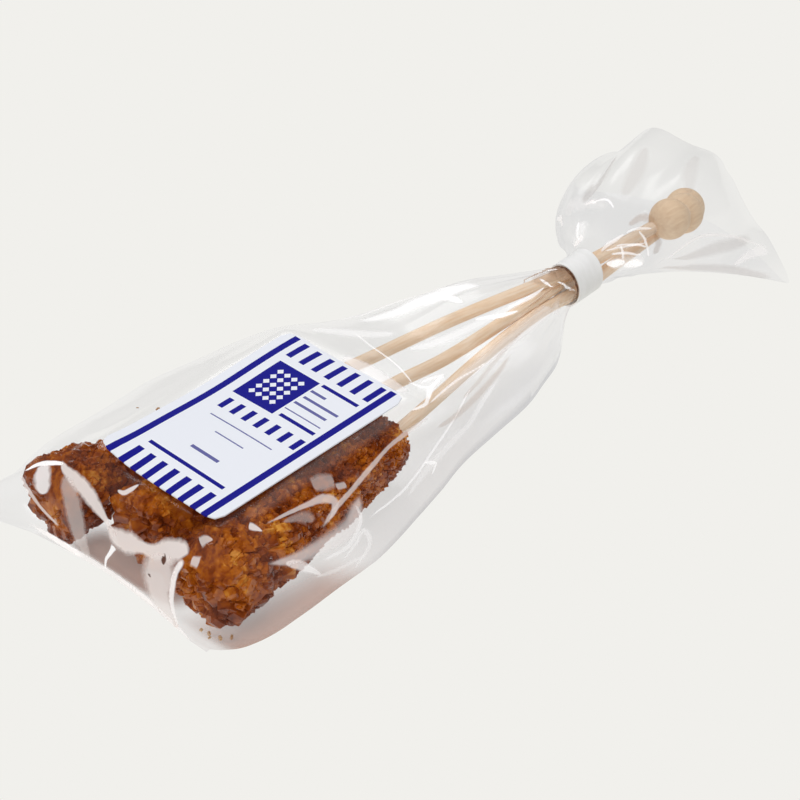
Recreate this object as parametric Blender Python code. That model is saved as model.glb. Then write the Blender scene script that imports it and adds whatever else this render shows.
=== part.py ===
"""Three rock candy sticks in a clear film bag that is tied with a white band.

The pack lies on its back: +X runs along it from the bottom seam to the open mouth, +Y is
across it and +Z is up. Sizes are millimetres times MM, measured from under the middle of
the label, and the last step moves everything so that the origin is under the pack's middle.
The candy and the lower ends of the sticks are sealed in, so the bag is solid up to its
mouth.
"""
from math import cos, exp, hypot, pi, radians, sin

import bmesh
import bpy
from mathutils import Matrix, Vector

MM = 0.001
GAP = 0.3 * MM
SHARP_ANGLE = radians(35)

# the pillow that holds the candy, from the bottom seam to the neck
SEAM_X = -38.5 * MM
SEAM_BOW = 2.2 * MM
SEAM_HEIGHT = 2.6 * MM
SEAM_LAYERS = 1.0 * MM
BODY_HALF_WIDTH = 33.2 * MM
BODY_MIDDLE_Y = 2.0 * MM
BODY_HEIGHT = 19.0 * MM
SIDE_FOLD_HEIGHT = 4.5 * MM

# the rounded end over the seam: its length, and how late and how roundly its crown falls
NOSE_LENGTH = 15.0 * MM
NOSE_LATENESS = 2.4
NOSE_ROUNDNESS = 0.6
NOSE_LIFT_LENGTH = 6.75 * MM
CORNER_DRAW = 0.07
RIGHT_CORNER_TUCK = 0.11

# powers of the pillow's outline: 1 is an ellipse, and less is fuller
LEFT_FULLNESS = 0.85
RIGHT_FULLNESS = 0.62
UNDERSIDE_FULLNESS = 0.28
SIDE_FULLNESS = 0.8

# the taper from the candy to the neck, and the step down over the candy's end
TAPER_START_X = 0.0 * MM
TAPER_POWER = 1.45
SHOULDER_X = 26.0 * MM
SHOULDER_LENGTH = 24.0 * MM
LIFT_LENGTH = 16.0 * MM
GATHER_DEPTH = 0.5 * MM
GATHERS = 9

# the loose fold that stands out on the -Y side before the neck
LOOSE_FOLD_REACH = 4.7 * MM
LOOSE_FOLD_START_X = 28.0 * MM
LOOSE_FOLD_RISE = 32.0 * MM
LOOSE_FOLD_END_X = 86.0 * MM
LOOSE_FOLD_FALL = 18.0 * MM

# hollows in the upper film, each with its middle (x, y), its radius and its depth, which is
# below zero where the film puffs up
HOLLOWS = (
    (2.0, 15.0, 12.0, 0.7),
    (-26.0, 7.5, 5.0, 0.5),
    (-26.0, 17.0, 6.0, -1.0),
    (-31.5, -1.0, 6.0, 1.2),
    (34.0, 4.0, 9.0, 1.2),
    (67.0, 4.0, 11.0, -2.4),
)

# the pointed ear at the seam's +Y corner
EAR_REACH = 5.0 * MM
EAR_SPREAD = 9.0 * MM
EAR_DEPTH = 6.0 * MM

# the gathered neck and the band round it
NECK_Y = -5.6 * MM
NECK_Z = 8.0 * MM
NECK_HALF_WIDTH = 3.9 * MM
NECK_HALF_HEIGHT = 4.6 * MM
BAND_X = 92.0 * MM
BAND_WIDTH = 8.0 * MM
BAND_THICKNESS = 0.3 * MM
BAND_SIDES = 48
NECK_START_X = BAND_X - BAND_WIDTH / 2 - 0.5 * MM
NECK_END_X = BAND_X + BAND_WIDTH / 2 + 0.5 * MM

# the flared mouth, in millimetres round from the back corner over the top: its film where
# it passes over the beads, and the rim of its open end
MOUTH_MIDDLE = (
    (110.2, 13.5, 2.0),
    (109.3, 13.1, 10.0),
    (110.5, 8.7, 17.0),
    (114.0, 2.2, 20.0),
    (117.0, -6.0, 21.0),
    (118.0, -14.5, 20.5),
    (118.5, -19.0, 15.0),
    (118.0, -19.2, 7.0),
    (117.3, -15.8, 1.4),
    (116.5, -10.5, 0.2),
    (117.0, -3.0, 0.2),
    (114.5, 5.5, 0.3),
)
MOUTH_RIM = (
    (130.5, 24.0, 0.8),
    (131.5, 20.3, 9.0),
    (131.5, 14.2, 13.6),
    (136.0, 9.2, 19.2),
    (138.5, -2.5, 20.0),
    (139.5, -11.5, 15.8),
    (139.0, -18.5, 7.6),
    (138.0, -25.5, 3.2),
    (130.8, -36.2, 0.4),
    (136.5, -22.0, 0.3),
    (139.0, -5.0, 0.3),
    (136.0, 12.0, 0.3),
)
MOUTH_AXIS_Z = 6.5 * MM
MOUTH_WALL = 0.5 * MM
MOUTH_FLOOR_X = NECK_END_X + 0.2 * MM
PLEAT_DEPTH = 0.9 * MM
PLEATS = 8

# how finely the bag is divided: round it, over its end, along its body and along its mouth
RING_POINTS = 64
NOSE_RINGS = 8
BODY_RINGS = 17
MOUTH_RINGS = 13

# label
LABEL_LENGTH = 50.5 * MM
LABEL_WIDTH = 32.6 * MM
LABEL_TURN = radians(-1.5)
LABEL_CORNER = 2.5 * MM
LABEL_THICKNESS = 0.3 * MM
LABEL_COLUMNS = 20
LABEL_ROWS = 12
FILM_UNDER_LABEL = 18.7 * MM
LABEL_MARGIN = 6.0 * MM

# the sticks' free ends and the beads on them, in millimetres
STICK_DIAMETER = 2.8 * MM
STICK_SIDES = 16
STICK_START_X = 100.0 * MM
STICKS_IN_BAND = ((-5.6, 10.7), (-3.9, 7.7), (-7.2, 5.0))
BEAD_CENTRES = ((116.2, -12.4, 14.3), (133.0, -4.8, 5.8), (125.3, -9.7, 10.2))
BEAD_DIAMETER = 9.2 * MM
BEAD_FLAT = 0.35 * MM
BEAD_SEGMENTS = 20
BEAD_RINGS = 12

COLOURS = {
    "film": (0.80, 0.81, 0.81, 1.0),
    "paper": (0.86, 0.87, 0.90, 1.0),
    "tape": (0.78, 0.79, 0.78, 1.0),
    "wood": (0.68, 0.45, 0.27, 1.0),
}


def clamp(value):
    return min(1.0, max(0.0, value))


def smooth(value):
    value = clamp(value)
    return value * value * (3 - 2 * value)


def mix(a, b, share):
    return a + (b - a) * share


def round_angles(count):
    return [2 * pi * i / count for i in range(count)]


def material(name, colour, roughness):
    made = bpy.data.materials.new(name)
    made.use_nodes = True
    shader = made.node_tree.nodes["Principled BSDF"]
    shader.inputs["Base Color"].default_value = colour
    shader.inputs["Roughness"].default_value = roughness
    shader.inputs["Metallic"].default_value = 0.0
    return made


def add_object(name, shape, finish):
    """Turn a bmesh into a named object with its normals out and its round faces smooth."""
    bmesh.ops.recalc_face_normals(shape, faces=shape.faces)
    mesh = bpy.data.meshes.new(name)
    shape.to_mesh(mesh)
    shape.free()
    for face in mesh.polygons:
        face.use_smooth = True
    mesh.set_sharp_from_angle(angle=SHARP_ANGLE)
    mesh.materials.append(finish)
    made = bpy.data.objects.new(name, mesh)
    collection.objects.link(made)
    return made


def nose_share(x, length):
    """From 0 where the rounded end starts, length from the seam, to 1 at the seam."""
    return clamp((SEAM_X + length - x) / length)


def body_height(x):
    """Height of the film's crown over the table."""
    shoulder = smooth((x - SHOULDER_X) / SHOULDER_LENGTH)
    height = mix(BODY_HEIGHT, NECK_Z + NECK_HALF_HEIGHT, shoulder)
    seam_top = SEAM_HEIGHT + SEAM_LAYERS / 2
    fall = (1 - nose_share(x, NOSE_LENGTH) ** NOSE_LATENESS) ** NOSE_ROUNDNESS
    return mix(seam_top, height, fall)


def body_floor(x):
    """Height of the underside: flat on the table, lifting to the seam and to the neck."""
    neck_bottom = NECK_Z - NECK_HALF_HEIGHT
    lift = smooth((x - (NECK_START_X - LIFT_LENGTH)) / LIFT_LENGTH)
    seam_bottom = SEAM_HEIGHT - SEAM_LAYERS / 2
    return neck_bottom * lift + seam_bottom * nose_share(x, NOSE_LIFT_LENGTH) ** 2


def under_label(x, y):
    """1 where the stiff label holds the film flat, falling to 0 round it."""
    beyond_x = max(0.0, abs(x) - LABEL_LENGTH / 2)
    beyond_y = max(0.0, abs(y) - LABEL_WIDTH / 2)
    return smooth(1 - beyond_x / LABEL_MARGIN) * smooth(1 - beyond_y / LABEL_MARGIN)


def hollow_depth(x, y):
    """How far the upper film sinks between the candy sticks and under the label."""
    depth = 0.0
    for hollow_x, hollow_y, radius, deepest in HOLLOWS:
        off = hypot(x - hollow_x * MM, y - hollow_y * MM) / (radius * MM)
        depth += deepest * MM * exp(-off ** 2)
    return depth


def loose_fold(x):
    """How far the -Y side fold stands out at x, before the neck."""
    rising = smooth((x - LOOSE_FOLD_START_X) / LOOSE_FOLD_RISE)
    return LOOSE_FOLD_REACH * rising * smooth((LOOSE_FOLD_END_X - x) / LOOSE_FOLD_FALL)


def body_section(x, angle):
    """One point of the pillow's outline at x, at an angle round it from the +Y side fold."""
    across = cos(angle)
    rise = sin(angle)
    taper = clamp((x - TAPER_START_X) / (NECK_START_X - TAPER_START_X))
    nose = nose_share(x, NOSE_LENGTH)
    half_width = mix(BODY_HALF_WIDTH, NECK_HALF_WIDTH, taper ** TAPER_POWER)
    half_width *= 1 - CORNER_DRAW * nose ** 2
    side = abs(across) ** mix(SIDE_FULLNESS, 1.0, taper)
    if across < 0:
        side *= RIGHT_CORNER_TUCK * nose ** 2.5 - 1
    y = mix(BODY_MIDDLE_Y, NECK_Y, taper ** 3) + half_width * side
    y -= loose_fold(x) * smooth((-across - 0.1) / 0.7)

    top = body_height(x)
    floor = body_floor(x)
    fold = min(mix(SIDE_FOLD_HEIGHT, NECK_Z, taper ** 1.6), (top + floor) / 2)
    if rise < 0:
        fullness = mix(UNDERSIDE_FULLNESS, 1.0, smooth((taper - 0.75) / 0.25))
        return y, fold - (fold - floor) * abs(rise) ** fullness
    fullness = mix(RIGHT_FULLNESS, LEFT_FULLNESS, 0.5 + 0.5 * across)
    z = fold + (top - fold) * rise ** mix(fullness, 1.0, smooth(taper))
    z = mix(z, FILM_UNDER_LABEL, under_label(x, y) * smooth(rise * 1.4))
    z -= hollow_depth(x, y) * (1 - nose) * smooth(rise * 1.4)
    near_neck = smooth((taper - 0.45) / 0.4) * smooth((NECK_START_X - x) / (3 * MM))
    z += GATHER_DEPTH * near_neck * sin(GATHERS * angle) * rise
    return y, z


def body_point(x, angle):
    """A point of the pillow, with the seam bowed in and its corner drawn out into an ear."""
    y, z = body_section(x, angle)
    ear_start_y = BODY_MIDDLE_Y + 0.9 * BODY_HALF_WIDTH - EAR_SPREAD
    beside = smooth((y - ear_start_y) / EAR_SPREAD)
    ear = EAR_REACH * beside * smooth((SEAM_X + EAR_DEPTH - x) / EAR_DEPTH)
    off_middle = min(1.0, abs(y - BODY_MIDDLE_Y) / (0.7 * BODY_HALF_WIDTH))
    bow = SEAM_BOW * cos(pi / 2 * off_middle) * smooth(nose_share(x, NOSE_LENGTH))
    return Vector((x + bow - ear, y + 0.6 * ear, z + 0.5 * ear))


def ring_point(ring, angle):
    """Closed Catmull-Rom curve through a ring of points, by angle round the mouth."""
    count = len(ring)
    place = (angle / (2 * pi) * count) % count
    index = int(place)
    t = place - index
    p0, p1, p2, p3 = (Vector(ring[(index + k) % count]) for k in (-1, 0, 1, 2))
    curve = p1 * 2 + (p2 - p0) * t + (p0 * 2 - p1 * 5 + p2 * 4 - p3) * t * t
    curve += (p1 * 3 - p0 - p2 * 3 + p3) * t ** 3
    return curve * 0.5 * MM


def neck_point(x, angle, inset=0.0):
    y = NECK_Y + (NECK_HALF_WIDTH - inset) * cos(angle)
    z = NECK_Z + (NECK_HALF_HEIGHT - inset) * sin(angle)
    return Vector((x, y, z))


def mouth_point(share, angle, inset=0.0):
    """The flared film from the neck (share 0) through its middle to the rim (share 1)."""
    point = neck_point(NECK_END_X, angle) * (1 - share) * (1 - 2 * share)
    point += ring_point(MOUTH_MIDDLE, angle) * 4 * share * (1 - share)
    point += ring_point(MOUTH_RIM, angle) * share * (2 * share - 1)
    pleat = PLEAT_DEPTH * sin(PLEATS * angle + 0.8) * smooth(share * 1.3)
    point.z += pleat * max(0.0, sin(angle))
    axis_z = mix(NECK_Z, MOUTH_AXIS_Z, share)
    inward = Vector((0, NECK_Y - point.y, axis_z - point.z))
    point += inward.normalized() * inset
    point.z = max(point.z, inset)
    return point


def skin(shape, rings, capped):
    """Skin rings of equal point count, and either cap both ends or join last to first."""
    loops = [[shape.verts.new(point) for point in ring] for ring in rings]
    count = len(rings[0])
    following = loops[1:] if capped else loops[1:] + loops[:1]
    for first, second in zip(loops, following):
        for i in range(count):
            j = (i + 1) % count
            shape.faces.new((first[i], first[j], second[j], second[i]))
    if capped:
        shape.faces.new(loops[0])
        shape.faces.new(list(reversed(loops[-1])))


def build_bag(finish):
    """The film bag: candy-filled pillow, gathered neck and thin-walled flared mouth."""
    angles = round_angles(RING_POINTS)
    nose_steps = [i / (NOSE_RINGS - 1) for i in range(NOSE_RINGS)]
    stations = [SEAM_X + NOSE_LENGTH * step ** 1.7 for step in nose_steps]
    body_start = stations[-1]
    for i in range(1, BODY_RINGS + 1):
        stations.append(mix(body_start, NECK_START_X, i / BODY_RINGS))
    shares = [i / MOUTH_RINGS for i in range(1, MOUTH_RINGS + 1)]

    rings = [[body_point(x, angle) for angle in angles] for x in stations]
    rings.append([neck_point(NECK_END_X, angle) for angle in angles])
    for share in shares:
        rings.append([mouth_point(share, angle) for angle in angles])
    for share in reversed(shares):
        rings.append([mouth_point(share, angle, MOUTH_WALL) for angle in angles])
    rings.append([neck_point(MOUTH_FLOOR_X, angle, MOUTH_WALL) for angle in angles])

    shape = bmesh.new()
    skin(shape, rings, capped=True)
    return add_object("bag", shape, finish)


def build_band(finish):
    """The white tape wound round the neck."""
    outer = GAP + BAND_THICKNESS
    rings = []
    for side, outset in ((-0.5, GAP), (-0.5, outer), (0.5, outer), (0.5, GAP)):
        x = BAND_X + side * BAND_WIDTH
        rings.append([neck_point(x, angle, -outset) for angle in round_angles(BAND_SIDES)])
    shape = bmesh.new()
    skin(shape, rings, capped=False)
    return add_object("tie_band", shape, finish)


def film_top(x, y):
    """Height of the pillow's upper film at a place, found by halving its outline's angle."""
    low, high = 0.0, pi
    for _ in range(40):
        angle = (low + high) / 2
        if body_section(x, angle)[0] > y:
            low = angle
        else:
            high = angle
    return body_section(x, angle)[1]


def build_label(finish):
    """The paper label: a thin sheet with round corners that follows the film under it."""
    shape = bmesh.new()
    bmesh.ops.create_grid(
        shape, x_segments=LABEL_COLUMNS, y_segments=LABEL_ROWS, size=0.5
    )
    for vert in shape.verts:
        x = vert.co.x * LABEL_LENGTH
        y = vert.co.y * LABEL_WIDTH
        corner_x = abs(x) - (LABEL_LENGTH / 2 - LABEL_CORNER)
        corner_y = abs(y) - (LABEL_WIDTH / 2 - LABEL_CORNER)
        if corner_x > 0 and corner_y > 0:
            scale = max(corner_x, corner_y) / hypot(corner_x, corner_y)
            x -= (1 if x > 0 else -1) * corner_x * (1 - scale)
            y -= (1 if y > 0 else -1) * corner_y * (1 - scale)
        turned_x = x * cos(LABEL_TURN) - y * sin(LABEL_TURN)
        turned_y = x * sin(LABEL_TURN) + y * cos(LABEL_TURN)
        vert.co = (turned_x, turned_y, film_top(turned_x, turned_y) + 2 * GAP)
    bmesh.ops.solidify(shape, geom=shape.faces[:], thickness=-LABEL_THICKNESS)
    return add_object("label", shape, finish)


def stick_line(index):
    """The bead's centre and the direction of its stick, from the band to the bead."""
    y, z = STICKS_IN_BAND[index]
    bead = Vector(BEAD_CENTRES[index]) * MM
    return bead, (bead - Vector((BAND_X, y * MM, z * MM))).normalized()


def turned_to(run, centre):
    """The matrix that lays a shape's own Z along run and puts its middle at centre."""
    return Matrix.Translation(centre) @ run.to_track_quat("Z", "Y").to_matrix().to_4x4()


def build_stick(index, finish):
    """The free end of a stick, from the mouth's floor to its bead."""
    bead, run = stick_line(index)
    start = bead - run * ((bead.x - STICK_START_X) / run.x)
    end = bead - run * (BEAD_DIAMETER / 2 - BEAD_FLAT + GAP)
    shape = bmesh.new()
    bmesh.ops.create_cone(
        shape,
        cap_ends=True,
        segments=STICK_SIDES,
        radius1=STICK_DIAMETER / 2,
        radius2=STICK_DIAMETER / 2,
        depth=(end - start).length,
        matrix=turned_to(run, (start + end) / 2),
    )
    return add_object(f"stick_{index + 1}", shape, finish)


def build_bead(index, finish):
    """A turned wooden bead with a small flat where the stick enters it."""
    bead, run = stick_line(index)
    shape = bmesh.new()
    bmesh.ops.create_uvsphere(
        shape, u_segments=BEAD_SEGMENTS, v_segments=BEAD_RINGS, radius=BEAD_DIAMETER / 2
    )
    for vert in shape.verts:
        vert.co.z = max(vert.co.z, BEAD_FLAT - BEAD_DIAMETER / 2)
    shape.transform(turned_to(run, bead))
    return add_object(f"bead_{index + 1}", shape, finish)


def centre_on_origin(objects):
    """Put the origin under the middle of the pack, at the height of the table."""
    points = [vert.co for item in objects for vert in item.data.vertices]
    low = Vector([min(point[k] for point in points) for k in range(3)])
    high = Vector([max(point[k] for point in points) for k in range(3)])
    for item in objects:
        item.location = (-(low.x + high.x) / 2, -(low.y + high.y) / 2, -low.z)


for leftover in list(bpy.data.objects):
    bpy.data.objects.remove(leftover)
collection = bpy.data.collections.new("rock_candy_pack")
bpy.context.scene.collection.children.link(collection)

film = material("clear_film", COLOURS["film"], 0.15)
paper = material("coated_paper", COLOURS["paper"], 0.5)
tape = material("white_tape", COLOURS["tape"], 0.5)
wood = material("pale_wood", COLOURS["wood"], 0.6)

pieces = [build_bag(film), build_band(tape), build_label(paper)]
for number in range(len(BEAD_CENTRES)):
    pieces.append(build_stick(number, wood))
    pieces.append(build_bead(number, wood))
centre_on_origin(pieces)
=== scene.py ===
"""Three rock candy sticks in a tied film bag: the looks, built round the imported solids.

Places are written in millimetres from under the middle of the label, with +X along the
pack towards the tied neck, +Y across it and +Z up, and place() turns them into the frame.
"""
import math
import random

import bmesh
import bpy
import numpy as np
from mathutils import Matrix, Vector, noise
from mathutils.bvhtree import BVHTree


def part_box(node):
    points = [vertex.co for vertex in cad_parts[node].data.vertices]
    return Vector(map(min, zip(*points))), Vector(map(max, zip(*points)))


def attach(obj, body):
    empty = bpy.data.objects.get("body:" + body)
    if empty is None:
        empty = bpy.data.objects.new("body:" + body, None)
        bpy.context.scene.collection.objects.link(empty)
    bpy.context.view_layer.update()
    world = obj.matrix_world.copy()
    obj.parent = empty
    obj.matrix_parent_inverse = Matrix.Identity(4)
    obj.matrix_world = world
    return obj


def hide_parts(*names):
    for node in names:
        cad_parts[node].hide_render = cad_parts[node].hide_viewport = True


bl_info = {
    "name": "Rock Candy Pack",
    "version": (1, 0, 0),
    "blender": (4, 5, 0),
    "location": "3D View > Sidebar > Rock Candy",
    "description": "Dresses a pack of rock candy sticks: film, candy, wood, tape and label",
    "category": "Add Mesh",
}

MM = 0.001
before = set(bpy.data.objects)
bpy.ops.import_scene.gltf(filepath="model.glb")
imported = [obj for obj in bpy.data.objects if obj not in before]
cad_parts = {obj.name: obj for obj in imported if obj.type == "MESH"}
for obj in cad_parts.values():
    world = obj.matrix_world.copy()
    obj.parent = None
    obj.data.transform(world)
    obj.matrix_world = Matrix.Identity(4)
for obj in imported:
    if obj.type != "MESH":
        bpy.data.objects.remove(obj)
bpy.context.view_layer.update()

label_low, label_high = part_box("label")
band_low, band_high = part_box("tie_band")
ORIGIN = Vector(((label_low.x + label_high.x) / 2, (label_low.y + label_high.y) / 2, 0.0))
NECK_X = (band_low.x + band_high.x - 2 * ORIGIN.x) / 2 / MM
NECK_Y = (band_low.y + band_high.y - 2 * ORIGIN.y) / 2 / MM
NECK_Z = (band_low.z + band_high.z) / 2 / MM

# the candies: axis from the bag's bottom to the stick's end, and radius at five places
CANDIES = (
    ((-33.0, 21.8, 8.6), (26.0, 9.9, 7.6), (8.4, 6.0, 6.4, 6.6, 5.0)),
    ((-27.5, 2.0, 8.6), (24.5, -1.2, 8.4), (8.0, 8.8, 8.6, 7.4, 5.0)),
    ((-30.5, -18.0, 8.8), (23.0, -13.3, 8.2), (8.4, 8.1, 7.5, 7.2, 5.4)),
)
# the sticks' routes past the candy, before the band; the solids give the rest
STICK_ROUTES = (
    ((10.0, 13.4, 8.5), (35.4, 7.9, 8.8), (60.4, 2.5, 9.7), (81.9, -3.4, 10.4), (92.0, -5.3, 10.2)),
    ((10.0, -0.4, 8.5), (35.5, -2.0, 8.4), (52.9, -4.3, 8.2), (84.5, -4.4, 7.8), (92.0, -3.9, 7.7)),
    ((10.0, -14.5, 8.5), (30.4, -12.8, 8.4), (59.6, -8.1, 6.8), (78.8, -6.2, 5.9), (92.0, -6.9, 5.4)),
)


# ---------------------------------------------------------------- helpers


def place(x, y, z):
    """A point of the frame, from millimetres measured from under the label's middle."""
    return ORIGIN + Vector((x, y, z)) * MM


def clamp(value):
    return np.clip(value, 0.0, 1.0)


def smooth(value):
    value = clamp(value)
    return value * value * (3 - 2 * value)


def linear(code):
    """An sRGB hex colour such as #F1F0EC as linear red, green, blue and alpha."""
    parts = [int(code[i:i + 2], 16) / 255 for i in (1, 3, 5)]
    return [p / 12.92 if p <= 0.04045 else ((p + 0.055) / 1.055) ** 2.4 for p in parts] + [1.0]


def add_node(tree, kind, inputs=None, **settings):
    """One shader node with its settings; an input is a value, or a node or socket to link."""
    made = tree.nodes.new(kind)
    for name, value in settings.items():
        setattr(made, name, value)
    for name, value in (inputs or {}).items():
        if isinstance(value, bpy.types.Node):
            value = value.outputs[0]
        if isinstance(value, bpy.types.NodeSocket):
            tree.links.new(value, made.inputs[name])
        else:
            made.inputs[name].default_value = value
    return made


def new_material(name):
    """An empty node material and its tree."""
    made = bpy.data.materials.new(name)
    made.use_nodes = True
    made.node_tree.nodes.clear()
    return made, made.node_tree


def set_output(tree, shader):
    add_node(tree, "ShaderNodeOutputMaterial", {"Surface": shader})


def colour_ramp(tree, factor, stops):
    """A colour ramp through (place, hex colour) stops."""
    made = add_node(tree, "ShaderNodeValToRGB", {"Fac": factor})
    ramp = made.color_ramp
    while len(ramp.elements) < len(stops):
        ramp.elements.new(0.5)
    for element, (position, code) in zip(ramp.elements, stops):
        element.position = position
        element.color = linear(code)
    return made


def add_piece(name, mesh, material, replaced=(), smooth_angle=None):
    """Put a finished mesh in the scene, ride it on the root and hide the solids it stands for."""
    mesh.name = name
    mesh.materials.clear()
    mesh.materials.append(material)
    if smooth_angle is not None:
        for face in mesh.polygons:
            face.use_smooth = True
        mesh.set_sharp_from_angle(angle=math.radians(smooth_angle))
    made = bpy.data.objects.new(name, mesh)
    bpy.context.scene.collection.objects.link(made)
    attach(made, "root")
    if replaced:
        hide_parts(*replaced)
    return made


def to_mesh(shape, name):
    mesh = bpy.data.meshes.new(name)
    shape.to_mesh(mesh)
    shape.free()
    return mesh


def vertex_places(mesh):
    """The mesh's vertices and their normals, in millimetres from under the label's middle."""
    count = len(mesh.vertices)
    points = np.empty(count * 3)
    mesh.vertices.foreach_get("co", points)
    normals = np.empty(count * 3)
    mesh.vertex_normals.foreach_get("vector", normals)
    return (points.reshape(-1, 3) - np.array(ORIGIN)) / MM, normals.reshape(-1, 3)


def store(mesh, name, values):
    """Keep one number for each vertex, for a material to read."""
    made = mesh.attributes.new(name, "FLOAT", "POINT")
    made.data.foreach_set("value", np.ascontiguousarray(values, dtype=np.float32))


def reach(points, route):
    """For each point 1 on a route's middle line, 0 at its half-width and below 0 outside.

    A route is a list of (x, y, z, half-width) in millimetres.
    """
    best = np.full(len(points), -1e6)
    for first, second in zip(route, route[1:]):
        a = np.array(first[:3])
        run = np.array(second[:3]) - a
        share = clamp(((points - a) @ run) / max(run @ run, 1e-9))
        off = np.linalg.norm(points - (a + share[:, None] * run), axis=1)
        width = first[3] + (second[3] - first[3]) * share
        best = np.maximum(best, 1 - off / width)
    return best


def noise_at(points, size, seed=0.0):
    """Smooth noise from -1 to 1 with features of about size millimetres."""
    shift = Vector((seed * 17.3, seed * 5.1, seed * 9.7))
    return np.array([noise.noise(Vector(point) / size + shift) for point in points])


def cells_at(points, size, seed=0.0):
    """Distance to the nearest and second nearest point of a random scatter, in sizes."""
    shift = Vector((seed * 3.7, seed * 8.9, seed * 2.3))
    found = [noise.voronoi(Vector(point) / size + shift)[0][:2] for point in points]
    return np.array(found).T


# ---------------------------------------------------------------- materials


def film_material(settings):
    """Biaxially stretched polypropylene film, cast, stretched and folded by hand.

    It is clear and glossy: both faces reflect a little, more at a glance. A thin haze gathers
    where it rubs, and painted shade, warm and grey, stands for the candy's shadow below it.
    """
    made, tree = new_material("stretched_polypropylene_film")
    veil = add_node(tree, "ShaderNodeAttribute", attribute_name="veil")
    shade = add_node(tree, "ShaderNodeAttribute", attribute_name="shade")
    places = add_node(tree, "ShaderNodeTexCoord").outputs["Object"]
    # wrinkles about a centimetre long and a few millimetres wide
    wrinkle = add_node(tree, "ShaderNodeMapping", {"Vector": places, "Scale": (90, 260, 260)})
    streaks = add_node(tree, "ShaderNodeTexNoise", {"Vector": wrinkle, "Scale": 1.0, "Detail": 3.0})
    bump = add_node(tree, "ShaderNodeBump", {"Height": streaks.outputs["Fac"], "Strength": 0.25, "Distance": 0.4 * MM})
    # reflection from both faces of the film, the same seen from outside and inside
    facing = add_node(tree, "ShaderNodeLayerWeight", {"Blend": 0.5, "Normal": bump}).outputs["Facing"]
    glance = add_node(tree, "ShaderNodeMath", {0: facing, 1: 4.0}, operation="POWER")
    two_faces = add_node(tree, "ShaderNodeMath", {0: glance, 1: 0.4, 2: 0.018}, operation="MULTIPLY_ADD", use_clamp=True)
    clear = add_node(tree, "ShaderNodeBsdfTransparent", {"Color": linear("#FDFDFE")})
    gloss = add_node(tree, "ShaderNodeBsdfAnisotropic", {"Color": linear("#FFFFFF"), "Roughness": settings.roughness, "Normal": bump})
    sheet = add_node(tree, "ShaderNodeMixShader", {0: two_faces, 1: clear, 2: gloss})
    white = add_node(tree, "ShaderNodeBsdfDiffuse", {"Color": linear("#F3F2F4")})
    haze = add_node(tree, "ShaderNodeMath", {0: veil.outputs["Fac"], 1: settings.haze}, operation="ADD", use_clamp=True)
    hazed = add_node(tree, "ShaderNodeMixShader", {0: haze, 1: sheet, 2: white})
    # the mouth's own grey, and painted grey shade on the pack's -Y side, read from the dim mark
    dim = add_node(tree, "ShaderNodeAttribute", attribute_name="dim")
    grey = add_node(tree, "ShaderNodeBsdfDiffuse", {"Color": linear("#7C8496")})
    dimmed = add_node(tree, "ShaderNodeMixShader", {0: dim.outputs["Fac"], 1: hazed, 2: grey})
    # painted shade: a warm diffuse where the lower sheet is marked with the candy's shadow
    painted_warm_shade = add_node(tree, "ShaderNodeBsdfDiffuse", {"Color": linear("#C9A28F")})
    set_output(tree, add_node(tree, "ShaderNodeMixShader", {0: shade.outputs["Fac"], 1: dimmed, 2: painted_warm_shade}))
    return made


def crease_material():
    """Strips on the film's creases: some crease whitening, mostly painted highlight and painted shade."""
    made, tree = new_material("crease_whitening_and_painted_light")
    strength = add_node(tree, "ShaderNodeAttribute", attribute_name="strength").outputs["Fac"]
    tone = add_node(tree, "ShaderNodeAttribute", attribute_name="tone").outputs["Fac"]
    middle = add_node(tree, "ShaderNodeAttribute", attribute_name="middle").outputs["Fac"]
    places = add_node(tree, "ShaderNodeTexCoord").outputs["Object"]
    ragged = add_node(tree, "ShaderNodeTexNoise", {"Vector": places, "Scale": 800.0, "Detail": 3.0})
    edge = add_node(tree, "ShaderNodeMath", {0: ragged.outputs["Fac"], 1: 0.4, 2: middle}, operation="MULTIPLY_ADD")
    crisp = add_node(tree, "ShaderNodeMapRange", {"Value": edge, "From Min": 0.24, "From Max": 0.66})
    opacity = add_node(tree, "ShaderNodeMath", {0: crisp, 1: strength}, operation="MULTIPLY", use_clamp=True)
    colour = colour_ramp(tree, tone, ((0.0, "#FFFDFC"), (0.15, "#F5E9E3"), (0.5, "#A99C97"), (0.75, "#B98A62"), (1.0, "#5A2A10")))
    clear = add_node(tree, "ShaderNodeBsdfTransparent")
    # painted glow: the white and pale strips give off a little light, so the painted highlights stay bright
    glow = colour_ramp(tree, tone, ((0.0, "#8E8E8E"), (0.1, "#484442"), (0.5, "#1A1A1A"), (1.0, "#000000")))
    white = add_node(tree, "ShaderNodeBsdfPrincipled", {"Base Color": colour, "Roughness": 0.4, "Emission Color": glow, "Emission Strength": 1.0})
    set_output(tree, add_node(tree, "ShaderNodeMixShader", {0: opacity, 1: clear, 2: white}))
    return made


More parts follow.
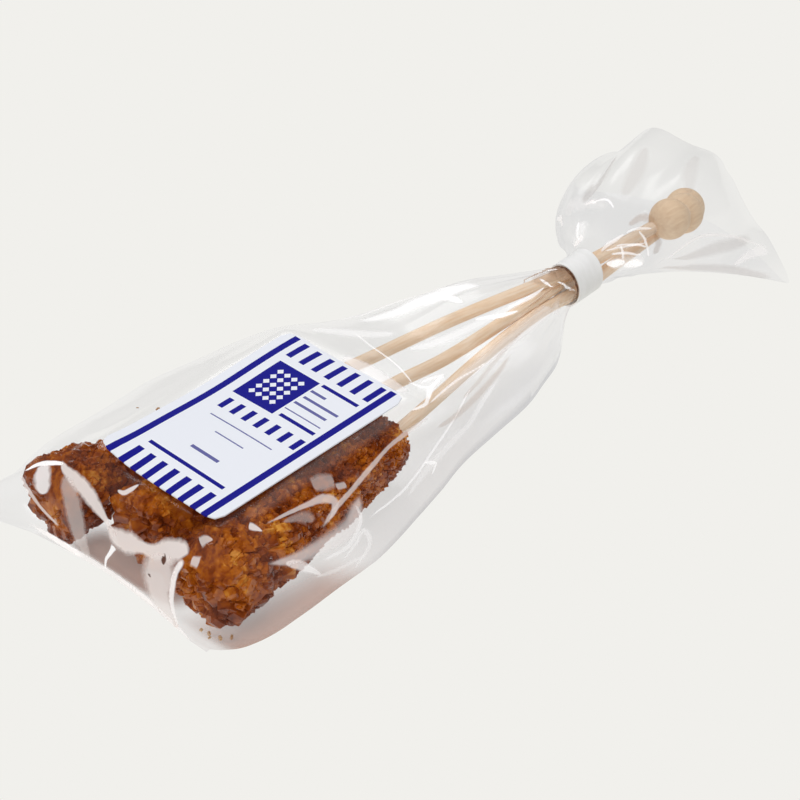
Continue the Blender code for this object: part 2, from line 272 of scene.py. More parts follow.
def sugar_material(name, stops, glass):
    """Caramelised sugar, crystallised slowly from syrup on the stick.

    Flat glossy faces on clear brown crystals, each with its own shade: the colour runs from
    nearly black-brown to amber in random clouds and grains, and a faint painted glow lies over it.
    """
    made, tree = new_material(name)
    each = add_node(tree, "ShaderNodeNewGeometry").outputs["Random Per Island"]
    places = add_node(tree, "ShaderNodeTexCoord").outputs["Object"]
    cloud = add_node(tree, "ShaderNodeTexNoise", {"Vector": places, "Scale": 120.0, "Detail": 4.0, "Roughness": 0.65})
    grains = add_node(tree, "ShaderNodeTexNoise", {"Vector": places, "Scale": 900.0, "Detail": 2.0})
    # crystals about two millimetres across, each with its own shade
    cells = add_node(tree, "ShaderNodeTexVoronoi", {"Vector": places, "Scale": 480.0})
    mixed = add_node(tree, "ShaderNodeMath", {0: cloud.outputs["Fac"], 1: 2.6, 2: add_node(tree, "ShaderNodeMath", {0: each, 1: 0.4}, operation="MULTIPLY")}, operation="MULTIPLY_ADD")
    mixed = add_node(tree, "ShaderNodeMath", {0: cells.outputs["Color"], 1: 0.3, 2: mixed}, operation="MULTIPLY_ADD")
    mixed = add_node(tree, "ShaderNodeMath", {0: grains.outputs["Fac"], 1: 1.0, 2: mixed}, operation="MULTIPLY_ADD")
    shared = add_node(tree, "ShaderNodeMapRange", {"Value": mixed, "From Min": 1.5, "From Max": 3.0})
    colour = colour_ramp(tree, shared, stops)
    bump = add_node(tree, "ShaderNodeBump", {"Height": grains.outputs["Fac"], "Strength": 0.25, "Distance": 0.12 * MM})
    shader = add_node(tree, "ShaderNodeBsdfPrincipled", {
        "Base Color": colour,
        "Roughness": 0.2,
        "IOR": 1.54,
        "Transmission Weight": glass,
        "Specular IOR Level": 0.45,
        # painted glow: a faint orange emission stands in for light scattered inside the sugar
        "Emission Color": linear("#B4460A"),
        "Emission Strength": 0.045,
        "Normal": bump,
    })
    set_output(tree, shader)
    return made


def wood_material(name, light, dark, grain_mm):
    """Raw birch, turned and sanded: pale, satin, with fine long grain."""
    made, tree = new_material(name)
    grain = add_node(tree, "ShaderNodeAttribute", attribute_name="grain")
    stretch = add_node(tree, "ShaderNodeMapping", {"Vector": grain.outputs["Vector"], "Scale": (0.06 / grain_mm, 1 / grain_mm, 1 / grain_mm)})
    fibre = add_node(tree, "ShaderNodeTexNoise", {"Vector": stretch, "Scale": 1.0, "Detail": 4.0, "Roughness": 0.6})
    cloud = add_node(tree, "ShaderNodeTexNoise", {"Vector": grain.outputs["Vector"], "Scale": 0.12, "Detail": 2.0})
    mixed = add_node(tree, "ShaderNodeMath", {0: cloud.outputs["Fac"], 1: 0.5, 2: fibre.outputs["Fac"]}, operation="MULTIPLY_ADD")
    colour = colour_ramp(tree, mixed, ((0.45, dark), (0.95, light)))
    bump = add_node(tree, "ShaderNodeBump", {"Height": fibre.outputs["Fac"], "Strength": 0.35, "Distance": 0.05 * MM})
    shader = add_node(tree, "ShaderNodeBsdfPrincipled", {"Base Color": colour, "Roughness": 0.55, "Normal": bump})
    set_output(tree, shader)
    return made


def tape_material():
    """White crepe paper tape, wound tight: matt, with faint cross wrinkles."""
    made, tree = new_material("white_crepe_tape")
    places = add_node(tree, "ShaderNodeTexCoord").outputs["Object"]
    stretch = add_node(tree, "ShaderNodeMapping", {"Vector": places, "Scale": (900, 260, 260)})
    crepe = add_node(tree, "ShaderNodeTexNoise", {"Vector": stretch, "Scale": 1.0, "Detail": 2.0})
    colour = colour_ramp(tree, crepe.outputs["Fac"], ((0.3, "#F1F0ED"), (0.7, "#F8F7F5")))
    bump = add_node(tree, "ShaderNodeBump", {"Height": crepe.outputs["Fac"], "Strength": 0.08, "Distance": 0.1 * MM})
    shader = add_node(tree, "ShaderNodeBsdfPrincipled", {"Base Color": colour, "Roughness": 0.5, "Specular IOR Level": 0.2, "Normal": bump})
    set_output(tree, shader)
    return made


# the print, in millimetres along and across the label from its middle
RULES = ((12.55, 14.15), (-14.15, -12.55))
RULE_ENDS = (-26.0, 24.7)
BAR_ROWS = (
    # along from, along to, upper edge of the top bar, pitch, bar width
    (18.9, 24.3, 11.0, 3.55, 1.5),
    (-1.2, 2.2, 9.3, 3.3, 1.4),
    (-26.0, -20.0, 10.4, 3.33, 1.6),
)
BARS = 7
BLOCKS = (
    # along from, along to, across from, across to
    (3.9, 16.9, -0.8, 10.4),
    (16.3, 17.2, -11.3, -1.6),
    (4.4, 5.3, -11.4, -2.0),
    (-18.2, -17.3, -10.6, 10.0),
)
# plain dashes where such a label carries its wording
DASHES = (
    (13.7, 14.4, -5.2, -1.2),
    (11.4, 12.1, -10.8, -1.5),
    (9.1, 9.8, -9.9, -1.3),
    (6.8, 7.1, -10.9, -1.2),
    (-4.0, -3.7, -8.8, 8.2),
    (-7.4, -7.1, -4.6, 3.2),
    (-13.6, -12.8, -4.2, 3.3),
)
# a lattice of small lozenges inside the solid block
LATTICE = (5.6, 15.2, 0.9, 8.7)
LATTICE_PITCH = 1.95


def inside(tree, value, low, high):
    """1 where the value lies between low and high, else 0."""
    above = add_node(tree, "ShaderNodeMath", {0: value, 1: low}, operation="GREATER_THAN")
    below = add_node(tree, "ShaderNodeMath", {0: value, 1: high}, operation="LESS_THAN")
    return add_node(tree, "ShaderNodeMath", {0: above, 1: below}, operation="MULTIPLY")


def both(tree, first, second):
    return add_node(tree, "ShaderNodeMath", {0: first, 1: second}, operation="MULTIPLY")


def label_material(settings):
    """Coated paper label, offset printed in one ink: smooth, with a faint sheen."""
    made, tree = new_material("coated_paper_label")
    places = add_node(tree, "ShaderNodeTexCoord").outputs["Object"]
    centred = add_node(tree, "ShaderNodeVectorMath", {0: places, 1: tuple(ORIGIN)}, operation="SUBTRACT")
    in_mm = add_node(tree, "ShaderNodeMapping", {
        "Vector": centred,
        "Rotation": (0, 0, -LABEL_TURN),
        "Scale": (1 / MM, 1 / MM, 1 / MM),
    })
    split = add_node(tree, "ShaderNodeSeparateXYZ", {0: in_mm})
    along, across = split.outputs["X"], split.outputs["Y"]

    def math_node(operation, first, second):
        return add_node(tree, "ShaderNodeMath", {0: first, 1: second}, operation=operation)

    def block(along_low, along_high, across_low, across_high):
        return both(tree, inside(tree, along, along_low, along_high), inside(tree, across, across_low, across_high))

    marks = [block(*RULE_ENDS, *rule) for rule in RULES]
    for low, high, top, pitch, width in BAR_ROWS:
        row = block(low, high, top - pitch * (BARS - 1) - width, top + 0.01)
        counted = math_node("FLOORED_MODULO", math_node("SUBTRACT", top, across), pitch)
        marks.append(both(tree, row, math_node("LESS_THAN", counted, width)))
    solid = block(*BLOCKS[0])
    marks += [block(*edges) for edges in BLOCKS[1:]]
    ink = marks[0]
    for mark in marks[1:]:
        ink = math_node("MAXIMUM", ink, mark)
    # lozenges left white in the solid block
    steps = []
    for value, start in ((along, LATTICE[0]), (across, LATTICE[2])):
        step = math_node("FLOORED_MODULO", math_node("SUBTRACT", value, start), LATTICE_PITCH)
        steps.append(math_node("ABSOLUTE", math_node("SUBTRACT", step, LATTICE_PITCH / 2), 0.0))
    lozenge = inside(tree, math_node("ADD", steps[0], steps[1]), -1.0, 0.42 * LATTICE_PITCH)
    white = both(tree, block(*LATTICE), lozenge)
    ink = math_node("MAXIMUM", ink, math_node("SUBTRACT", solid, white))
    for dash in DASHES:
        ink = math_node("MAXIMUM", ink, math_node("MULTIPLY", block(*dash), 0.85))
    colour = add_node(tree, "ShaderNodeMix", data_type="RGBA")
    tree.links.new(ink.outputs[0], colour.inputs[0])
    colour.inputs[6].default_value = tuple(settings.paper) + (1,)
    colour.inputs[7].default_value = tuple(settings.ink) + (1,)
    fibre = add_node(tree, "ShaderNodeTexNoise", {"Vector": places, "Scale": 900.0, "Detail": 2.0})
    bump = add_node(tree, "ShaderNodeBump", {"Height": fibre.outputs["Fac"], "Strength": 0.06, "Distance": 0.1 * MM})
    shader = add_node(tree, "ShaderNodeBsdfPrincipled", {"Base Color": colour.outputs[2], "Roughness": 0.5, "Specular IOR Level": 0.08, "Normal": bump})
    set_output(tree, shader)
    return made


# ---------------------------------------------------------------- film

# the pillow over the candy, in millimetres, from the bottom seam to the neck
SEAM_X, SEAM_BOW, SEAM_HEIGHT = -38.5, 2.2, 2.6
BODY_HALF_WIDTH, BODY_MIDDLE_Y, BODY_HEIGHT, SIDE_FOLD_HEIGHT = 33.2, 2.0, 19.0, 4.5
NOSE_LENGTH, NOSE_LATENESS, NOSE_ROUNDNESS, NOSE_LIFT_LENGTH = 15.0, 2.4, 0.6, 6.75
CORNER_DRAW, RIGHT_CORNER_TUCK = 0.07, 0.11
LEFT_FULLNESS, RIGHT_FULLNESS, UNDERSIDE_FULLNESS, SIDE_FULLNESS = 0.85, 0.62, 0.28, 0.8
TAPER_START_X, TAPER_POWER = 0.0, 1.45
SHOULDER_X, SHOULDER_LENGTH, LIFT_LENGTH = 26.0, 24.0, 16.0
GATHER_DEPTH, GATHERS = 0.5, 9
LOOSE_FOLD_REACH, LOOSE_FOLD_START_X, LOOSE_FOLD_RISE = 4.7, 28.0, 32.0
LOOSE_FOLD_END_X, LOOSE_FOLD_FALL = 86.0, 18.0
HOLLOWS = (
    # x, y, radius and depth
    (2.0, 15.0, 12.0, 0.7),
    (-26.0, 7.5, 5.0, 0.5),
    (-26.0, 17.0, 6.0, -1.0),
    (-31.5, -1.0, 6.0, 1.2),
    (34.0, 4.0, 9.0, 1.2),
    (67.0, 4.0, 11.0, -2.4),
)
EAR_REACH, EAR_SPREAD, EAR_DEPTH = 5.0, 9.0, 6.0
LABEL_LENGTH, LABEL_WIDTH, LABEL_TURN = 50.5, 32.6, math.radians(-1.5)
FILM_UNDER_LABEL, LABEL_MARGIN = 18.7, 6.0

# the neck under the tape, and the flared mouth
NECK_HALF_WIDTH, NECK_HALF_HEIGHT = 3.9, 4.6
NECK_START_X, NECK_END_X = NECK_X - 4.5, NECK_X + 4.5
MOUTH_LENGTH = 43.0
MOUTH_MIDDLE = (
    (110.2, 13.5, 2.0),
    (109.3, 13.1, 10.0),
    (110.5, 8.7, 17.0),
    (114.0, 2.2, 20.0),
    (117.0, -6.0, 21.0),
    (118.0, -14.5, 20.5),
    (118.5, -19.0, 15.0),
    (118.0, -19.2, 7.0),
    (117.3, -15.8, 1.4),
    (116.5, -10.5, 0.2),
    (117.0, -3.0, 0.2),
    (114.5, 5.5, 0.3),
)
MOUTH_RIM = (
    (130.5, 24.0, 0.8),
    (131.5, 20.3, 9.0),
    (131.5, 14.2, 13.6),
    (136.0, 9.2, 19.2),
    (138.5, -2.5, 20.0),
    (139.5, -11.5, 15.8),
    (139.0, -18.5, 7.6),
    (138.0, -25.5, 3.2),
    (130.8, -36.2, 0.4),
    (136.5, -22.0, 0.3),
    (139.0, -5.0, 0.3),
    (136.0, 12.0, 0.3),
)
PLEAT_DEPTH, PLEATS = 0.9, 8

# how finely the film is divided: round it and along it
FILM_COLUMNS, FILM_ROWS = 240, 400


def mix(a, b, share):
    return a + (b - a) * share


def nose_share(x, length):
    """From 0 where the rounded end starts, length from the seam, to 1 at the seam."""
    return clamp((SEAM_X + length - x) / length)


def under_label(x, y):
    """1 where the stiff label holds the film flat, falling to 0 round it."""
    beyond_x = np.maximum(0, np.abs(x) - LABEL_LENGTH / 2)
    beyond_y = np.maximum(0, np.abs(y) - LABEL_WIDTH / 2)
    return smooth(1 - beyond_x / LABEL_MARGIN) * smooth(1 - beyond_y / LABEL_MARGIN)


def pillow(x, angle):
    """The pillow's film at distances x along it and angles round it from its +Y side."""
    across, rise = np.cos(angle), np.sin(angle)
    taper = clamp((x - TAPER_START_X) / (NECK_START_X - TAPER_START_X))
    nose = nose_share(x, NOSE_LENGTH)
    half_width = mix(BODY_HALF_WIDTH, NECK_HALF_WIDTH, taper ** TAPER_POWER)
    half_width *= 1 - CORNER_DRAW * nose ** 2
    side = np.abs(across) ** mix(SIDE_FULLNESS, 1.0, taper)
    side = np.where(across < 0, side * (RIGHT_CORNER_TUCK * nose ** 2.5 - 1), side)
    y = mix(BODY_MIDDLE_Y, NECK_Y, taper ** 3) + half_width * side
    loose = smooth((x - LOOSE_FOLD_START_X) / LOOSE_FOLD_RISE) * smooth((LOOSE_FOLD_END_X - x) / LOOSE_FOLD_FALL)
    y -= LOOSE_FOLD_REACH * loose * smooth((-across - 0.1) / 0.7)

    shoulder = smooth((x - SHOULDER_X) / SHOULDER_LENGTH)
    crown = mix(BODY_HEIGHT, NECK_Z + NECK_HALF_HEIGHT, shoulder)
    top = mix(SEAM_HEIGHT, crown, (1 - nose ** NOSE_LATENESS) ** NOSE_ROUNDNESS)
    lift = smooth((x - (NECK_START_X - LIFT_LENGTH)) / LIFT_LENGTH)
    floor = (NECK_Z - NECK_HALF_HEIGHT) * lift
    floor += SEAM_HEIGHT * nose_share(x, NOSE_LIFT_LENGTH) ** 2
    fold = np.minimum(mix(SIDE_FOLD_HEIGHT, NECK_Z, taper ** 1.6), (top + floor) / 2)
    fullness = mix(UNDERSIDE_FULLNESS, 1.0, smooth((taper - 0.75) / 0.25))
    below = fold - (fold - floor) * np.abs(rise) ** fullness

    fullness = mix(RIGHT_FULLNESS, LEFT_FULLNESS, 0.5 + 0.5 * across)
    above = fold + (top - fold) * np.abs(rise) ** mix(fullness, 1.0, smooth(taper))
    ease = smooth(rise * 1.4)
    above = mix(above, FILM_UNDER_LABEL, under_label(x, y) * ease)
    for hollow_x, hollow_y, radius, depth in HOLLOWS:
        off = np.hypot(x - hollow_x, y - hollow_y) / radius
        above -= depth * np.exp(-off ** 2) * (1 - nose) * ease
    near_neck = smooth((taper - 0.45) / 0.4) * smooth((NECK_START_X - x) / 3)
    above += GATHER_DEPTH * near_neck * np.sin(GATHERS * angle) * rise
    z = np.where(rise < 0, below, above)

    # the seam bows in, and its +Y corner is drawn out into a pointed ear
    beside = smooth((y - (BODY_MIDDLE_Y + 0.9 * BODY_HALF_WIDTH - EAR_SPREAD)) / EAR_SPREAD)
    ear = EAR_REACH * beside * smooth((SEAM_X + EAR_DEPTH - x) / EAR_DEPTH)
    off_middle = np.minimum(1, np.abs(y - BODY_MIDDLE_Y) / (0.7 * BODY_HALF_WIDTH))
    bow = SEAM_BOW * np.cos(math.pi / 2 * off_middle) * smooth(nose_share(x, NOSE_LENGTH))
    return np.stack((x + bow - ear, y + 0.6 * ear, z + 0.5 * ear), axis=1)


def round_curve(ring, angle):
    """Closed Catmull-Rom curve through a ring of places, by angle round the mouth."""
    ring = np.array(ring)
    spot = (angle / (2 * math.pi) * len(ring)) % len(ring)
    index = spot.astype(int)
    t = (spot - index)[:, None]
    a, b, c, d = (ring[(index + k) % len(ring)] for k in (-1, 0, 1, 2))
    curve = b * 2 + (c - a) * t + (a * 2 - b * 5 + c * 4 - d) * t * t
    return (curve + (b * 3 - a - c * 3 + d) * t ** 3) / 2


def neck_oval(x, angle):
    y = NECK_Y + NECK_HALF_WIDTH * np.cos(angle)
    return np.stack((x, y, NECK_Z + NECK_HALF_HEIGHT * np.sin(angle)), axis=1)


def mouth(share, angle):
    """The flared film from the neck (share 0) through its middle to the rim (share 1)."""
    neck = neck_oval(np.full(len(angle), NECK_END_X), angle)
    s = share[:, None]
    points = neck * (1 - s) * (1 - 2 * s)
    points += round_curve(MOUTH_MIDDLE, angle) * 4 * s * (1 - s)
    points += round_curve(MOUTH_RIM, angle) * s * (2 * s - 1)
    pleat = PLEAT_DEPTH * np.sin(PLEATS * angle + 0.8) * smooth(share * 1.3)
    points[:, 2] += pleat * np.maximum(0, np.sin(angle))
    points[:, 2] = np.maximum(points[:, 2], 0)
    return points


def film_form(station, angle):
    """The smooth film, in millimetres: at x up to the neck's end, then out along the mouth."""
    share = clamp((station - NECK_END_X) / MOUTH_LENGTH)
    # the cut edge isn't quite straight
    share = share * (1 - 0.012 * np.sin(3 * angle + 1) - 0.035 * np.exp(-(((angle - 2.62) / 0.07) ** 2)) * share)
    points = mouth(share, angle)
    neck = neck_oval(station, angle)
    body = pillow(np.minimum(station, NECK_START_X), angle)
    points = np.where((station < NECK_END_X)[:, None], neck, points)
    return np.where((station < NECK_START_X)[:, None], body, points)


CREASE_STAND_OFF = 0.1
# painted highlights and painted shade along the film's creases, with some crease whitening:
# strength, tone (0 white, 0.5 grey, 1 brown), and then (x, y, z, half-width) along each
PAINTED_CREASE_LIGHT_AND_SHADE = (
    # the ridge over the candies' lower ends
    (0.82, 0.13, ((-30.0, 21.8, 16.0, 0.4), (-30.9, 19.8, 15.8, 1.0), (-31.6, 16.5, 15.6, 1.7), (-32.1, 12.5, 14.9, 1.8), (-32.9, 9.0, 13.7, 1.5), (-33.4, 6.2, 12.7, 0.8), (-33.9, 4.4, 11.6, 0.8), (-34.2, 2.4, 11.0, 1.6))),
    (0.84, 0.13, ((-33.8, 5.4, 11.8, 0.6), (-34.2, 2.3, 11.0, 2.2), (-34.0, -1.1, 11.4, 2.6), (-33.8, -4.4, 12.2, 1.5), (-33.6, -7.2, 12.6, 1.8), (-32.6, -10.5, 14.2, 2.8), (-31.8, -13.0, 15.2, 2.2), (-31.6, -15.0, 15.2, 0.7))),
    (0.7, 0.12, ((-33.4, -8.6, 13.2, 3.6), (-35.0, -9.9, 10.4, 5.4), (-36.4, -11.2, 6.9, 4.4), (-37.3, -14.2, 4.4, 2.2), (-38.8, -18.0, 3.1, 0.5))),
    (0.85, 0.06, ((-32.6, -14.4, 14.4, 0.8), (-34.8, -13.9, 11.4, 0.9), (-36.6, -15.0, 7.3, 0.9), (-38.4, -17.4, 3.3, 0.6))),
    (0.85, 1.0, ((-33.2, -9.8, 13.6, 0.2), (-33.8, -10.2, 12.6, 0.8), (-34.2, -10.6, 11.8, 0.2))),
    (0.7, 1.0, ((-35.0, -6.9, 9.8, 0.2), (-35.4, -7.3, 9.0, 0.5), (-35.7, -8.2, 8.3, 0.2))),
    (0.42, 0.2, ((-31.7, 19.0, 15.3, 1.4), (-34.2, 14.6, 12.0, 2.6), (-35.9, 11.2, 7.6, 2.3), (-36.9, 8.3, 3.3, 1.0))),
    (0.8, 0.0, ((-34.9, 2.4, 9.2, 1.0), (-35.4, 2.8, 8.0, 0.6), (-35.9, 3.9, 5.6, 0.4), (-36.3, 4.1, 3.2, 0.25))),
    # the corner beside the first candy
    (0.75, 0.05, ((-31.4, 25.6, 14.0, 1.6), (-32.8, 24.2, 13.0, 2.6), (-34.4, 22.8, 11.8, 2.4), (-35.4, 22.2, 10.8, 0.9))),
    (0.9, 0.0, ((-33.6, 29.4, 12.0, 0.3), (-32.0, 27.2, 13.4, 0.6), (-30.8, 23.2, 15.2, 0.6), (-30.2, 20.4, 16.0, 0.3))),
    (0.6, 0.1, ((-34.6, 28.6, 11.0, 0.3), (-35.6, 25.6, 10.2, 0.5), (-36.6, 21.5, 8.6, 0.4), (-36.6, 16.5, 7.0, 0.3))),
    (0.7, 0.08, ((-29.6, 6.5, 17.2, 0.25), (-29.4, 5.0, 17.2, 0.6), (-28.1, 4.0, 17.7, 0.6), (-26.6, 3.6, 18.2, 0.25))),
    # along the seam
    (0.7, 0.0, ((-37.2, 20.0, 4.2, 0.4), (-37.2, 15.0, 3.6, 0.9), (-37.2, 9.5, 3.3, 0.6))),
    (0.6, 0.05, ((-36.4, 1.0, 3.1, 0.6), (-37.0, -5.0, 3.1, 1.4), (-37.6, -10.2, 3.1, 0.8))),
    (0.75, 0.05, ((-38.6, 24.0, 4.6, 0.6), (-37.4, 12.0, 3.4, 1.1), (-36.8, 0.0, 3.1, 1.3), (-37.8, -12.0, 3.1, 1.2), (-39.0, -22.0, 3.0, 0.5))),
    # over the third candy, beside the label
    (0.5, 0.14, ((-9.8, -27.0, 14.2, 0.3), (-4.6, -25.6, 15.0, 0.6), (0.8, -24.6, 15.4, 0.6), (7.9, -23.0, 15.8, 0.6), (14.4, -21.6, 16.0, 0.5), (20.4, -21.1, 15.9, 0.6), (27.0, -20.6, 15.3, 0.3))),
    (0.5, 0.1, ((-17.9, -20.8, 17.1, 0.25), (-12.0, -21.6, 16.7, 0.5), (-7.6, -22.4, 16.4, 0.8), (-4.8, -23.1, 16.1, 1.3), (-3.8, -24.6, 15.5, 1.1), (-5.2, -25.8, 14.9, 0.6), (-8.0, -26.8, 14.3, 0.2))),
    (0.34, 0.0, ((-0.6, -26.9, 14.2, 0.3), (-1.7, -29.2, 12.3, 0.5), (-5.4, -30.5, 10.3, 0.6), (-8.0, -30.6, 10.0, 0.5), (-13.2, -30.3, 10.7, 0.25))),
    (0.55, 0.03, ((-20.6, -28.0, 13.5, 0.4), (-18.4, -29.1, 12.3, 1.2), (-16.6, -30.1, 10.8, 0.9), (-14.3, -31.0, 8.4, 0.2))),
    (0.3, 0.12, ((-5.0, -19.9, 17.4, 1.7), (-2.6, -20.6, 17.2, 2.2), (-0.6, -21.6, 16.8, 1.7))),
    (0.35, 0.05, ((-1.2, -22.6, 16.4, 0.9), (0.8, -23.2, 15.9, 0.9))),
    (0.6, 0.16, ((-29.6, -15.6, 17.2, 1.3), (-28.6, -16.2, 17.4, 1.2), (-27.6, -17.4, 17.2, 0.15))),
    (0.5, 0.05, ((-32.4, -16.0, 15.0, 1.0), (-31.6, -17.8, 14.8, 1.4))),
    (0.7, 0.08, ((-21.0, -19.3, 17.5, 0.9), (-20.3, -20.2, 17.4, 0.9), (-19.4, -21.7, 17.1, 0.1))),
    (0.5, 0.0, ((0.0, -28.4, 11.0, 0.2), (12.0, -27.0, 10.6, 0.35), (26.0, -23.6, 11.6, 0.3), (44.0, -17.0, 11.0, 0.2))),
    (0.25, 0.0, ((-16.0, -31.0, 9.0, 0.3), (-10.0, -32.0, 7.0, 0.6), (-2.0, -31.5, 5.6, 0.3))),
    # past the label, towards the neck
    (0.45, 0.05, ((27.6, 3.0, 17.6, 1.0), (27.4, -3.0, 17.8, 2.4), (26.8, -9.0, 17.8, 2.6), (26.6, -15.0, 17.0, 1.4))),
    (0.55, 0.0, ((38.6, 10.1, 14.6, 0.2), (35.8, -0.3, 15.8, 0.4), (31.4, -12.9, 16.9, 0.3))),
    (0.7, 0.0, ((30.9, -11.6, 17.0, 0.2), (34.0, -14.5, 15.6, 0.5), (40.6, -12.1, 13.6, 0.2))),
    (0.7, 0.0, ((34.0, -14.5, 15.6, 0.5), (28.8, -18.3, 16.5, 0.5), (24.0, -18.4, 17.2, 0.2))),
    (0.55, 0.0, ((29.6, -18.4, 16.1, 0.2), (42.4, -14.6, 12.4, 0.4), (52.2, -14.1, 10.8, 0.2))),
    (0.8, 0.0, ((59.7, -4.2, 13.3, 0.3), (64.8, -6.7, 12.6, 0.7), (69.5, -8.2, 12.4, 0.3))),
    (0.7, 0.0, ((67.5, -6.3, 12.8, 0.3), (74.4, -6.8, 12.3, 0.6), (80.0, -6.6, 12.1, 0.2))),
    (0.8, 0.0, ((60.6, 6.7, 13.4, 0.4), (61.3, 3.6, 14.0, 1.3), (61.4, 0.4, 14.5, 0.4))),
    (0.5, 0.0, ((41.8, 18.7, 11.7, 0.2), (56.7, 14.2, 10.6, 0.5), (66.1, 4.5, 14.0, 0.3))),
    # the crumpled start of the mouth, over the sticks
    (0.85, 0.0, ((97.4, -9.6, 10.8, 0.3), (99.2, -11.0, 10.4, 1.3), (101.2, -12.2, 10.3, 0.6))),
    (0.85, 0.0, ((100.6, -12.2, 9.4, 0.3), (103.0, -13.1, 9.2, 1.5), (105.0, -14.2, 8.4, 0.5))),
    (0.6, 0.0, ((99.0, -9.6, 12.4, 0.2), (101.4, -11.6, 12.4, 0.4), (104.6, -14.0, 11.4, 0.2))),
    (0.5, 0.02, ((98.6, -8.2, 12.8, 0.2), (102.0, -10.8, 13.4, 0.35), (106.0, -13.6, 13.6, 0.2))),
    (0.55, 0.0, ((100.4, -9.4, 14.1, 0.2), (104.1, -13.2, 13.9, 0.35), (105.6, -14.4, 13.0, 0.2))),
    (0.55, 0.0, ((101.2, -10.5, 14.1, 0.3), (101.0, -11.4, 12.4, 0.4), (100.6, -11.8, 11.1, 0.3))),
    (0.55, 0.0, ((105.4, -12.0, 16.4, 0.2), (105.6, -14.0, 14.3, 0.4), (106.3, -14.9, 9.9, 0.3))),
    (0.45, 0.0, ((103.7, -9.5, 16.1, 0.2), (106.0, -11.8, 16.6, 0.4), (107.8, -13.9, 16.6, 0.2))),
    (0.6, 0.05, ((98.0, -7.6, 12.6, 0.3), (101.0, -8.4, 14.8, 0.7), (103.4, -9.4, 15.8, 0.3))),
    (0.45, 0.05, ((109.2, -15.4, 7.1, 0.2), (117.6, -19.3, 11.7, 0.5), (127.3, -21.9, 8.4, 0.4), (135.6, -25.8, 3.5, 0.3))),
    (0.75, 0.04, ((102.2, 7.0, 10.7, 0.4), (104.3, 8.6, 11.0, 1.0), (106.5, 10.8, 9.0, 0.4))),
    (0.8, 0.04, ((97.4, 0.6, 10.7, 0.3), (97.6, -0.8, 12.0, 0.8), (98.4, -1.8, 13.2, 0.7), (98.9, -1.4, 13.9, 0.3))),
    (0.6, 0.0, ((101.4, 1.7, 15.2, 0.3), (99.6, 0.3, 14.2, 0.45), (98.0, -1.2, 13.0, 0.3))),
    (0.8, 0.04, ((105.8, 3.4, 17.0, 0.3), (106.3, 2.3, 17.5, 0.8), (106.3, 0.4, 17.8, 0.3))),
    (0.6, 0.0, ((106.4, 1.4, 17.7, 0.2), (107.5, -1.6, 18.8, 0.4), (107.0, -3.9, 18.2, 0.2))),
    (0.35, 0.05, ((125.4, -24.4, 2.7, 0.3), (130.0, -25.2, 3.6, 1.2), (135.4, -26.4, 3.2, 1.8))),
    (0.75, 0.02, ((30.5, -17.6, 16.1, 0.25), (34.5, -14.8, 15.2, 0.6), (40.6, -12.3, 13.5, 0.3))),
    (0.7, 0.02, ((33.0, -12.9, 16.3, 0.25), (37.0, -12.3, 14.8, 0.5), (41.1, -12.2, 13.4, 0.25))),
    (0.7, 0.0, ((19.2, -26.3, 11.8, 0.2), (21.0, -26.5, 10.8, 0.5), (22.5, -26.6, 10.0, 0.2))),
    (0.7, 0.0, ((22.5, -26.6, 10.0, 0.2), (21.2, -27.0, 9.5, 0.4), (20.1, -27.4, 9.0, 0.2))),
    (0.32, 0.0, ((-8.7, -31.0, 8.1, 0.2), (-5.2, -30.8, 9.3, 0.5), (-2.0, -30.2, 10.6, 0.6), (-1.7, -31.0, 7.2, 0.7), (-6.3, -31.2, 4.0, 0.2))),
    # the gathers against the tape: a painted dark line of shade at its edge, painted glints and painted brown shade
    (0.85, 1.0, ((87.6, -1.6, 11.8, 0.2), (87.7, -4.6, 12.7, 0.4), (87.7, -7.6, 12.0, 0.5), (87.7, -9.4, 9.0, 0.4), (87.6, -9.5, 6.6, 0.2))),
    (0.9, 0.0, ((84.4, -3.2, 12.5, 0.2), (85.4, -4.2, 12.8, 0.8), (86.6, -5.2, 12.8, 0.3))),
    (0.8, 0.0, ((80.2, -4.6, 13.2, 0.2), (80.9, -6.2, 12.8, 0.55), (81.8, -7.6, 12.2, 0.2))),
    (0.7, 0.0, ((83.0, -7.4, 12.2, 0.2), (84.2, -8.8, 11.0, 0.5), (86.6, -9.4, 9.0, 0.2))),
    (0.6, 0.75, ((76.0, -3.6, 13.4, 0.2), (80.6, -3.0, 13.2, 0.4), (86.4, -2.6, 12.2, 0.2))),
    (0.6, 0.75, ((72.0, -8.6, 12.0, 0.2), (79.0, -8.4, 11.8, 0.4), (86.6, -8.2, 11.4, 0.2))),
)
